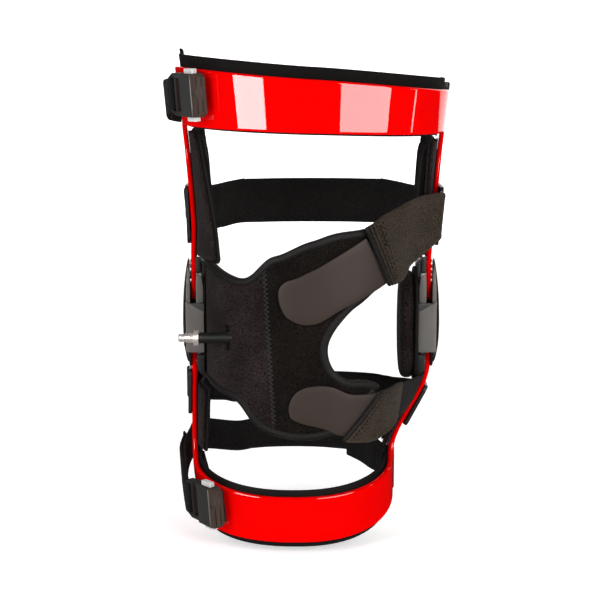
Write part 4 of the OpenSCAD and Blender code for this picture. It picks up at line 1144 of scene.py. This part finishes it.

# The wrap's flat cut: the outline's own area
wrap_area = (abs(signed_area(wrap_loop)) - abs(signed_area(slit))) * MM * MM

# ---------------------------------------------------------------- hook tabs
TAB_OFF = 4.6
UPPER_TAB = [(-14, 34, -13, 24), (-11, 40, -9, 16), (-4, 44, 0, 12.5), (6, 53.5, 12, 22), (15, 61, 25, 30),
             (25, 68.5, 39.5, 38.5)]
LOWER_TAB = [(-9, -41, -8.5, -49), (-6, -33, -5, -52.5), (0, -28.5, 0, -55), (8, -29, 6, -58),
             (18, -34.5, 10, -61), (36, -35, 14.5, -62.5)]


def tab_loop(rows):
    top = [(a, b) for a, b, _, _ in rows]
    low = [(c, d) for _, _, c, d in rows]
    line = smooth_open([*low[::-1], *top], 12)
    flat = KNEE.flat(line)
    return resample(flat, 1.1)


for name, rows, node in (("upper_hook_tab_strip", UPPER_TAB, "upper_hook_tab"),
                         ("lower_hook_tab_strip", LOWER_TAB, "lower_hook_tab")):
    tab = panel(name, tab_loop(rows), knee_place, TAB_OFF, TAB_OFF + 1.7, M["hook"], edge=0.6, spacing=2.5,
                top=lambda d: 0.25 * ease((d - 0.6) / 1.2))
    finish(tab, "lateral_hinge", node, slot="hook")


# ---------------------------------------------------------------- kneecap straps
ACROSS = np.linspace(0, 1, 7)


def knee_row(top, bottom, off):
    return knee_point(lerp(top[0], bottom[0], ACROSS), lerp(top[1], bottom[1], ACROSS), off)


def free_row(top, bottom):
    return lerp(np.array(top, float), np.array(bottom, float), ACROSS[:, None])


def line_across(surface, normal, d, j0=0.0, j1=1.0, count=60, slant=0.0):
    """Points and normals across a strap, d mm from its start, slant mm more at the far end."""
    out, ups = [], []
    width = surface.shape[1]
    for f in np.linspace(j0, j1, count):
        j = f * (width - 1)
        a = int(min(j, width - 2))
        line = surface[:, a] * (a + 1 - j) + surface[:, a + 1] * (j - a)
        up = normal[:, a] * (a + 1 - j) + normal[:, a + 1] * (j - a)
        dist = run_length(line)
        at = d + slant * f
        out.append(value_at(at, dist, line))
        ups.append(value_at(at, dist, up))
    return np.array(out), np.array(ups)


def bead(name, points, normals, wide, high, mat):
    """Soft ridge with an oval section, laid along points on a surface."""
    loops = []
    a = np.linspace(0, 2 * math.pi, 12, endpoint=False)
    n = len(points)
    for i in range(n):
        d = points[min(i + 1, n - 1)] - points[max(i - 1, 0)]
        d /= np.linalg.norm(d)
        up = normals[i] - d * (normals[i] @ d)
        up /= np.linalg.norm(up)
        side = np.cross(d, up)
        end = min(i, n - 1 - i) / 2.0
        k = 1 if end >= 1 else 0.45 + 0.55 * math.sqrt(end)
        wob = 1 + 0.06 * math.sin(i * 1.9)
        loops.append(points[i] + k * (np.cos(a)[:, None] * side * wide / 2 * wob
                                      + np.sin(a)[:, None] * up * high / 2 * wob))
    return sweep(name, loops, mat)


def strap_end(tag, surface, normal, ridges, rows, body):
    """Bound fold at the start of a strap, with its stitches."""
    for k, (d, wide, high) in enumerate(ridges):
        pts, nrm = line_across(surface, normal, d)
        finish(bead(f"{tag}_fold_{k + 1}", pts, nrm, wide, high, M["strap"] if k else M["binding"]), body)
    places = []
    for d, slant, j0, j1, length, gap in rows:
        pts, nrm = line_across(surface, normal, d, j0, j1, 80, slant)
        places += stitch_line(pts, nrm, length, gap)
    finish(capsules(f"{tag}_stitches", places, M["thread"], 0.45), body)


def zigzag(surface, normal, d, step, depth, j0, j1):
    pts, nrm = line_across(surface, normal, d, j0, j1, 200)
    far, _ = line_across(surface, normal, d + depth, j0, j1, 200)
    dist = run_length(pts)
    places, last = [], None
    for k, at in enumerate(np.arange(0.8, dist[-1] - 0.8, step)):
        p = value_at(at, dist, far if k % 2 else pts)
        if last is not None:
            places.append(((p + last) / 2, p - last, float(np.linalg.norm(p - last)),
                           value_at(at, dist, nrm)))
        last = p
    return places


upper_rows = [
    knee_row((23.6, 75.5), (38.2, 36.2), 6.6), knee_row((27.8, 78.0), (44.5, 36.9), 6.6),
    knee_row((34, 82.2), (51, 38.4), 5.6),
    knee_row((43, 85.5), (57, 43), TAB_OFF), free_row((63, -50, 90), (66, -41, 47)),
    free_row((73, -36, 92.5), (74.5, -32, 52.5)), free_row((82.8, -26, 93.3), (82.0, -25.5, 58)),
    free_row((87.6, -22.2, 93), (85.4, -22.0, 60.5)), free_row((89.4, -18.8, 93), (86.6, -18.6, 61)),
    free_row((88.8, -16.8, 93), (86.2, -16.6, 61)), free_row((87.1, -16.7, 93), (84.4, -16.5, 61)),
    free_row((85.0, -19.4, 92.8), (82.8, -19.2, 61)), free_row((79.6, -25.0, 92.2), (78.6, -24.4, 58.5)),
    free_row((73.2, -31.2, 91.0), (73.2, -28.4, 55)),
]
upper_strap, up_surface, up_normal = ribbon("upper_kneecap_strap_web", upper_rows, 1.9, M["strap"], steps=9,
                                            across=25)
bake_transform(upper_strap)
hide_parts("upper_kneecap_strap")
strap_end("upper_strap", up_surface, up_normal, [(0.2, 2.4, 3.6), (2.9, 2.2, 2.6), (5.6, 2.0, 2.2)],
          [(13.6, -4.6, 0.06, 0.97, 1.6, 2.6), (7.5, 0, 0.04, 0.97, 1.6, 1.2), (1.55, 0, 0.0, 1.0, 3.0, 0.1),
           (4.3, 0, 0.0, 1.0, 3.0, 0.1)], "lateral_hinge")
places = zigzag(up_surface, up_normal, 8.4, 1.7, 2.8, 0.06, 0.42)
finish(capsules("upper_strap_zigzag", places, M["thread"], 0.4), "lateral_hinge")

lower_rows = [
    knee_row((33.4, -33.4), (12.4, -64.6), 6.6), knee_row((37.0, -33), (17, -66.2), 6.4),
    knee_row((43, -32), (30, -67), 4.8), knee_row((50, -31.5), (44, -62), 2.6),
    free_row((60.5, -44, -32.5), (56.5, -44, -58.5)),
]
lower_strap, low_surface, low_normal = ribbon("lower_kneecap_strap_web", lower_rows, 2.1, M["strap"],
                                              steps=9, across=21)
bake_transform(lower_strap)
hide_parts("lower_kneecap_strap")
strap_end("lower_strap", low_surface, low_normal, [(0.2, 2.4, 3.0), (2.8, 2.2, 2.2)],
          [(4.9, 0, 0.04, 0.97, 1.5, 1.3), (1.5, 0, 0.0, 1.0, 3.0, 0.1)], "lateral_hinge")

# The strap's hidden end, which runs back to the inner face of the shin's upright
return_rows = [
    free_row((57.8, -45.4, -33), (53.8, -45.4, -58)), free_row((61.6, -42.6, -33), (57.4, -42.6, -57.6)),
    free_row((66.8, -33, -33.0), (61.7, -34, -56.5)), free_row((72.6, -20, -33.4), (66.2, -20, -54)),
    free_row((76.8, -9, -34), (69.6, -9, -52)), free_row((77.2, 4, -34), (70.0, 4, -52)),
]
lower_return = ribbon("lower_kneecap_strap_return", return_rows, 2.0, M["webbing"], steps=6, across=15)[0]
finish(lower_return, "shin")


# ---------------------------------------------------------------- straps round the back
def thigh_row(phi, z, width, off):
    return thigh_point(phi, z + width * (0.5 - ACROSS), off)


def shin_row(phi, z, width, off):
    return shin_point(phi, z + width * (0.5 - ACROSS), off)


def buckle_frame(point, phi, z, turn, tilt):
    """Origin and axes of a buckle: away from the leg, to the front, and up."""
    origin = point(np.array(phi), np.array(z), 4.1)
    t, a = math.radians(tilt), math.radians(180 + turn)
    x = np.array([math.cos(t) * math.cos(a), math.cos(t) * math.sin(a), -math.sin(t)])
    y = np.array([-math.sin(a), math.cos(a), 0.0])
    zz = np.array([math.sin(t) * math.cos(a), math.sin(t) * math.sin(a), math.cos(t)])
    return origin, np.array([x, y, zz])


THIGH_BUCKLE = buckle_frame(thigh_point, -56.0, 160.5, 34, 5)
SHIN_BUCKLE = buckle_frame(shin_point, -54.0, -116.5, 37, 5)


def local(buckle, points):
    return buckle[0] + np.asarray(points, float) @ buckle[1]


BACK_PHIS = (142, 155, 167, 180, 193, 205, 218)


def web(name, rows, t, node):
    strap = ribbon(name, rows, t, M["webbing"], steps=5, across=17)[0]
    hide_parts(node)
    return strap


def row_at(x, y, z, width, lean_x):
    return free_row((x + lean_x, y, z + width / 2), (x - lean_x, y, z - width / 2))


def bar_loop(x, y, z, width, lean_x, t):
    """Rows round the bar behind an anchor's slot, from the strap's side of the bar, through the
    slot and back. x, y is the middle of the bar; x grows away from the leg in absolute value."""
    side = 1 if x > 0 else -1
    gap = 1.35 + t
    path = [(-gap, 3.0), (-gap, 0.0), (-gap * 0.75, -3.2), (0.0, -4.1), (gap * 0.8, -3.1), (gap, 0.0),
            (gap, 4.0)]
    return [row_at(x + side * dx, y + dy, z, width, side * lean_x) for dx, dy in path]


def back_strap(name, node, body, t, point_row, z, width, off, medial, lateral):
    """Strap from one anchor to the other, folded back over itself at both ends; the stitches that hold the
    folds are not drawn.
    """
    mx, my, mz, m_lean = medial
    lx, ly, lz, l_lean = lateral
    over = off + t + 0.3
    start = [point_row(146, z, width, over), point_row(134, lerp(z, mz, 0.4), width, over),
             point_row(120, lerp(z, mz, 0.75), width, over)]
    start += bar_loop(mx, my, mz, width, m_lean, t)[::-1]
    main = [point_row(128, lerp(z, mz, 0.55), width, off)] + [point_row(p, z, width, off) for p in BACK_PHIS]
    main += [point_row(232, lerp(z, lz, 0.55), width, off)]
    end = bar_loop(lx, ly, lz, width, l_lean, t)
    end += [point_row(240, lerp(z, lz, 0.75), width, over), point_row(226, lerp(z, lz, 0.4), width, over),
            point_row(214, z, width, over)]
    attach(web(name, start + main + end, t, node), body)


back_strap("lower_thigh_strap_web", "lower_thigh_strap", "thigh", 2.2, thigh_row, 81, 31, -3,
           (87.1, 24.5, 77, 1.3), (-84.2, 24.5, 77, 1.3))
back_strap("upper_calf_strap_web", "upper_calf_strap", "shin", 2.1, shin_row, -55.5, 23, -4,
           (72.6, 24.5, -57, 4.2), (-84.5, 24.5, -47.5, 0.0))


def clip_end(buckle, t, main):
    """Rows of a strap under the rear bar of a clip, up through its slot, over the bar and back
    along the strap's own last rows, main."""
    half, share = 10.4, 0.6
    path = [(1.5 - t, -22.4), (1.5 - t, -19.0), (-0.3, -15.9), (2.8, -14.6), (4.4 + t * 0.6, -15.6),
            (4.3 + t * 0.8, -18.2), (3.2 + t * 0.8, -21.2)]
    rows = [local(buckle, free_row((x, y, half), (x, y, -half))) for x, y in path]
    away = buckle[1][0]

    def lifted(row, by):
        centre = row.mean(0)
        out = np.array([centre[0], centre[1] * 0.3, 0])
        return row + out / np.linalg.norm(out) * by
    first, second = main[-1], main[-2]
    rows.append(lerp(rows[-1], lifted(first, 2 * t + 0.6), 0.5) + away * 0.4)
    rows.append(lifted(first, 2 * t + 0.6))
    rows.append(lifted(lerp(first, second, share), 2 * t + 0.9))
    rows.append(lifted(lerp(first, second, share + 0.12), 2 * t + 1.6))
    return rows


def band_loop_plate(name, node, place, side_s, z, width, y0, y1, body):
    """Thin plate that follows the band round its end, with a slot for a strap. Returns the x of
    the bar behind the slot."""
    half = width / 2 + 3.6
    outline = rounded([(side_s + y0, z - half, 4), (side_s + y1, z - half, 4), (side_s + y1, z + half, 4),
                       (side_s + y0, z + half, 4)], 1.2)
    slot_half = width / 2 + 0.8
    slot = [(side_s + y1 - a, z + b * slot_half, 1) for a, b in ((8, -1), (3, -1), (3, 1), (8, 1))]
    plate = panel(name, outline, place, 1.9, 3.1, M["dark"], holes=[rounded(slot, 0.8)], edge=0.5, spacing=3)
    finish(plate, body, node, slot="anchor")
    return float(place(side_s + y1 - 1.5, z, 2.5)[0])


bar_x = band_loop_plate("thigh_band_loop_plate", "thigh_band_loop", thigh_wall, THIGH.side, 148, 31, 7, 29,
                        "thigh")
rows = [thigh_row(146, 148, 31, -0.4), thigh_row(134, 148, 31, -0.4), thigh_row(120, 148, 31, -0.4)]
rows += bar_loop(bar_x, 27.5, 148, 31, 1.8, 2.2)[::-1]
rows += [thigh_row(128, 148, 31, -3)] + [thigh_row(p, 148, 31, -3) for p in BACK_PHIS]
rows += [free_row((-92, 27, 169.5), (-89.5, 27, 138.5)), free_row((-97.5, 9, 168.5), (-95, 9, 141.5))]
rows += clip_end(THIGH_BUCKLE, 2.1, rows)
upper_thigh = web("upper_thigh_strap_web", rows, 2.1, "upper_thigh_strap")
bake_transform(upper_thigh)

bar_x = band_loop_plate("shin_band_loop_plate", "shin_band_loop", shin_wall, SHIN.side, -106, 23, 4, 26,
                        "shin")
rows = [shin_row(146, -98, 23, -1.6), shin_row(134, -101, 23, -1.6), shin_row(120, -104, 23, -1.6)]
rows += bar_loop(bar_x, 24.5, -106, 23, 0.3, 2.1)[::-1]
rows += [shin_row(128, -99, 23, -4)] + [shin_row(p, -94, 23, -4) for p in BACK_PHIS]
rows += [free_row((-80, 36, -76.5), (-79, 36, -99.5)), free_row((-85, 20, -78.5), (-84, 20, -101.5)),
         free_row((-88.6, 3, -88), (-87.2, 3, -111))]
rows += clip_end(SHIN_BUCKLE, 2.1, rows)
lower_calf = web("lower_calf_strap_web", rows, 2.1, "lower_calf_strap")
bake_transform(lower_calf)

# ---------------------------------------------------------------- hard parts kept from the CAD
SIDES = ((-1, "lateral"), (1, "medial"))
LEVELS = ((-1, "lower"), (1, "upper"))
both_sides = [tag for _, tag in SIDES]
# Material, width of the bevelled edges in mm, nodes
KEPT = (
    ("tang", 0.3, [f"{tag}_{level}_gear_head" for tag in both_sides for _, level in LEVELS]),
    ("steel", 0.3, ["thigh_arm_rivets", "shin_arm_rivets"]),
    ("steel", 0.3, [f"{tag}_{node}" for tag in both_sides
                    for node in ("pivot_pins", "extension_stops", "cover_screws")]),
    ("plate", 0.3, [f"{tag}_{node}_plate" for tag in both_sides for node in ("inner", "outer")]),
    ("satin", 0.9, [f"{tag}_hinge_housing" for tag in both_sides]),
    ("clip", 0.8, ["thigh_buckle_clip", "shin_buckle_clip"]),
    ("dark", 0.7, ["thigh_strap_anchors", "shin_strap_anchors", "thigh_buckle_base", "shin_buckle_base"]),
    ("white", 0.9, [f"{part}_{level}_button" for part in ("thigh", "shin") for _, level in LEVELS]),
)
for look, edge_width, nodes in KEPT:
    for node in nodes:
        obj = bpy.data.objects[node]
        obj.data.materials.clear()
        obj.data.materials.append(M[look])
        weld = obj.modifiers.new("weld", "WELD")
        weld.merge_threshold = 0.00002
        bevel(obj, edge_width)


# ---------------------------------------------------------------- hinge shells
def tangent_hull(circles):
    """Outline round circles given as (y, z, radius)."""
    pts = []
    for y, z, r in circles:
        a = np.linspace(0, 2 * math.pi, 96, endpoint=False)
        pts += list(zip(y + r * np.cos(a), z + r * np.sin(a)))
    pts = sorted(pts)

    def half(points):
        out = []
        for p in points:
            while len(out) > 1 and ((out[-1][0] - out[-2][0]) * (p[1] - out[-2][1])
                                    - (out[-1][1] - out[-2][1]) * (p[0] - out[-2][0])) <= 0:
                out.pop()
            out.append(p)
        return out
    hull = half(pts)[:-1] + half(pts[::-1])[:-1]
    return resample(np.array(hull), 1.0)


def revolve(name, profile, origin, axis, mat, count=40):
    """Turned part. profile is (distance along the axis, radius) pairs."""
    axis = np.array(axis, float)
    helper = np.array([0, 0, 1.0]) if abs(axis[2]) < 0.9 else np.array([1.0, 0, 0])
    u = np.cross(axis, helper)
    u /= np.linalg.norm(u)
    v = np.cross(axis, u)
    a = np.linspace(0, 2 * math.pi, count, endpoint=False)
    loops = [[np.array(origin) + axis * d + (u * math.cos(t) + v * math.sin(t)) * r for t in a] for d,
             r in profile]
    return sweep(name, loops, mat)


COVER_X = 84.82
PIN_Z = 13.0


def cover_scale(z):
    """Share of a cover's thickness that is left towards its upper and lower ends."""
    return 1 - 0.78 * np.clip(np.abs(z - 9.5) / 36.5, 0, 1) ** 2.3


def cover_place(side):
    def place(y, z, off):
        y, z, off = spread(y, z, off)
        return np.stack([side * (COVER_X + (off - COVER_X) * cover_scale(z)), y, z], -1)
    return place


def xz_block(side, name, corners, radius, near, far, mat):
    """Block with an outline in (x, z) and two faces, near and far in front of the pins."""
    def place(x, z, off):
        x, z, off = spread(x, z, off)
        return np.stack([side * x, -off, z], -1)
    loop = rounded([(*c, radius) for c in corners], 0.8)
    return flat_panel(side, name, loop, place, near, far, mat, edge=0.5, spacing=2.5)


# The housing's front wall, cut on a slant at its top, its cheeks and its toe, the mounts of the
# condyle pad, and a spacer on the gear head. Outline, corner radius, faces, material and body.
BLOCKS = (
    ("housing_wall", [(73.6, -17.2), (86.2, -17.2), (86.4, 18.6), (73.6, 11.2)], 0.6, 17.0, 19.9, "shell",
     None),
    ("housing_outer_cheek", [(83.3, 12), (86.3, 12), (86.2, 26), (85.6, 36), (84.9, 44.5), (83.4, 38)],
     0.5, 15.5, 17.6, "shell", None),
    ("housing_inner_cheek", [(74.2, 8), (79.3, 8), (79.3, 31), (78.9, 37), (75.2, 34.5), (74.2, 28)],
     0.5, 14.2, 16.4, "shell", None),
    ("pad_mount", [(73.0, 30.5), (76.0, 30.5), (76.0, 45), (73.0, 44)], 0.5, -8, 8.5, "dark", None),
    ("pad_mount_foot", [(73.0, -38), (76.0, -34), (76.0, -30.4), (73.0, -30.4)], 0.5, -8, 12, "dark", None),
    ("tang_spacer", [(76.0, 36.5), (79.5, 36.5), (79.5, 47.8), (76.0, 47.8)], 0.5, 8.2, 9.8, "dark", "thigh"),
    ("housing_toe", [(73.4, -31), (75.6, -33), (78.6, -30), (79.0, -19.2), (73.4, -19.2)],
     0.5, 14.5, 18.6, "dark", None),
)

for side, tag in SIDES:
    body = tag + "_hinge"
    inner = flat_panel(side, tag + "_cover_inner", tangent_hull([(0, -7.3, 19.1), (0, 37.6, 7.8)]),
                       cover_place(side), COVER_X, 86.5, M["shell"], edge=0.7, spacing=3)
    finish(inner, body, tag + "_hinge_cover", slot="housing")
    dome = flat_panel(side, tag + "_cover_dome", tangent_hull([(0, -7.5, 19.5), (0, 38, 8)]),
                      cover_place(side),
                      86.7, 88.0, M["dark"], edge=1.2, spacing=1.8, steps=5,
                      holes=[oval(2.9, 2.9, 0.7) + (0, way * PIN_Z) for way, _ in LEVELS],
                      top=lambda d: 1.2 * np.sqrt(np.clip((d - 1.2) / 12, 0, 1)))
    finish(dome, body, tag + "_hinge_cover")
    for way, level in LEVELS:
        cup = revolve(f"{tag}_screw_cup_{level}",
                      [(0, 2.35), (2.6, 2.35), (2.9, 2.6), (2.9, 3.3), (2.2, 3.6), (0, 3.6)],
                      (side * (86.2 - 0.3 * (way < 0)), 0, way * PIN_Z), (side, 0, 0), M["dark"], 32)
        finish(cup, body)
        middle, outward = np.array([side * 88.65, 0, way * PIN_Z]), np.array([side, 0, 0.0])
        # A black cross over each screw is painted shade standing for the shadow in its slots
        cross = capsules(f"{tag}_screw_slot_shade_{level}",
                         [(middle, np.array(d), 2.6, outward) for d in ((0, 1.0, 1.0), (0, 1.0, -1.0))],
                         M["thread"], 0.28)
        finish(cross, body)
    for name, corners, radius, near, far, look, rides_on in BLOCKS:
        finish(xz_block(side, f"{tag}_{name}", corners, radius, near, far, M[look]), rides_on or body)

hook_patch = flat_panel(-1, "lateral_hook_patch", oval(15, 38), side_place(-1, -2), 72.8, 74.3, M["pile"],
                        edge=0.6, spacing=5)
finish(hook_patch, "lateral_hinge")

# ---------------------------------------------------------------- inflation tube and valve
AXIS = (-1, 0, 0)
tube_profile = [(-2.2, 1.0), (-2.0, 2.6), (-1.0, 3.4), (0.5, 3.6)]
tube_profile += [(x, 3.6 + 0.03 * math.sin(x * 1.7)) for x in np.arange(1, 20.6, 0.5)]
tube_profile += [(20.8, 3.72), (21.4, 3.75), (21.9, 3.5), (22.0, 1.9), (16.5, 1.85)]
tube = revolve("inflation_tube_body", tube_profile, (-53, -55, -0.5), AXIS, M["rubber"])
finish(tube, "lateral_hinge", "inflation_tube", slot="tube")
ferrule = revolve("valve_ferrule_ring",
                  [(0, 1.9), (0, 5.0), (0.35, 5.4), (1.2, 5.4), (1.5, 4.9), (1.9, 4.9), (2.2, 5.3),
                                         (3.2, 5.3), (3.55, 4.9), (3.55, 1.9)], (-75.05, -55, -0.5), AXIS,
                  M["nickel"])
finish(ferrule, "lateral_hinge", "valve_ferrule", slot="nickel")
stem_profile = [(-9.5, 0.2), (-9.5, 1.75), (0, 1.75), (0, 2.9), (0.3, 3.2), (3.1, 3.2), (3.3, 2.9),
                (3.7, 2.9),
                (3.9, 3.2), (5.1, 3.2), (5.5, 2.8)]
for k in range(7):
    x = 5.7 + k * 0.55
    stem_profile += [(x, 2.35), (x + 0.16, 2.72), (x + 0.32, 2.72), (x + 0.48, 2.35)]
stem_profile += [(9.6, 2.2), (9.8, 1.9), (9.8, 1.1), (8.6, 1.0), (8.6, 0.2)]
stem = revolve("valve_stem_body", stem_profile, (-78.75, -55, -0.5), AXIS, M["nickel"], 36)
finish(stem, "lateral_hinge", "valve_stem", slot="nickel")


# ---------------------------------------------------------------- buckle details
def rod(name, points, radius, mat, count=10):
    p = np.array(points, float)
    loops = []
    for i in range(len(p)):
        d = p[min(i + 1, len(p) - 1)] - p[max(i - 1, 0)]
        d /= np.linalg.norm(d)
        u = np.cross(d, [0.3, 0.9, 0.2])
        u /= np.linalg.norm(u)
        v = np.cross(d, u)
        a = np.linspace(0, 2 * math.pi, count, endpoint=False)
        loops.append(p[i] + radius * (np.cos(a)[:, None] * u + np.sin(a)[:, None] * v))
    return sweep(name, loops, mat)


for tag, buckle in (("thigh", THIGH_BUCKLE), ("shin", SHIN_BUCKLE)):
    clip = tag + "_clip"
    # A light grey rod along the clip's ridge is a painted highlight line
    ridge_highlight_line = [(7.6, 14, -13.3), (7.8, 14, -8), (7.85, 14, 0), (7.8, 14, 8), (7.6, 14, 13.3)]
    finish(rod(tag + "_clip_ridge", local(buckle, ridge_highlight_line), 0.5, M["shell"]), clip)
    # Two dark rods near the clip's front edge are painted shade standing for its grooves
    for k, (y, x) in enumerate(((18.7, 6.1), (20.3, 3.2))):
        ends = local(buckle, [(x, y, -12 + k), (x, y, 12 - k)])
        finish(rod(f"{tag}_clip_groove_shade_{k + 1}", ends, 0.35, M["dark"]), clip)
    screw = revolve(tag + "_clip_screw", [(0, 0.3), (0.4, 0.5), (0.4, 1.0), (0.15, 1.25), (-1, 1.25)],
                    local(buckle, (7.2, 16.0, 1.5)), (buckle[1][0] * 0.94 + buckle[1][1] * 0.34), M["dark"],
                    20)
    finish(screw, clip)
    coils = []
    turns = np.linspace(0, 5.5 * 2 * math.pi, 110)
    for way, level in LEVELS:
        line = np.stack([3.4 + 1.25 * np.cos(turns), 8 + 1.25 * np.sin(turns),
                         np.linspace(3.9, 9.9, 110) * way], -1)
        coils.append(rod(f"{tag}_spring_{level}", local(buckle, line), 0.28, M["steel"], 6))
    springs = join(tag + "_button_coils", coils)
    finish(springs, clip, tag + "_button_springs", slot="steel")
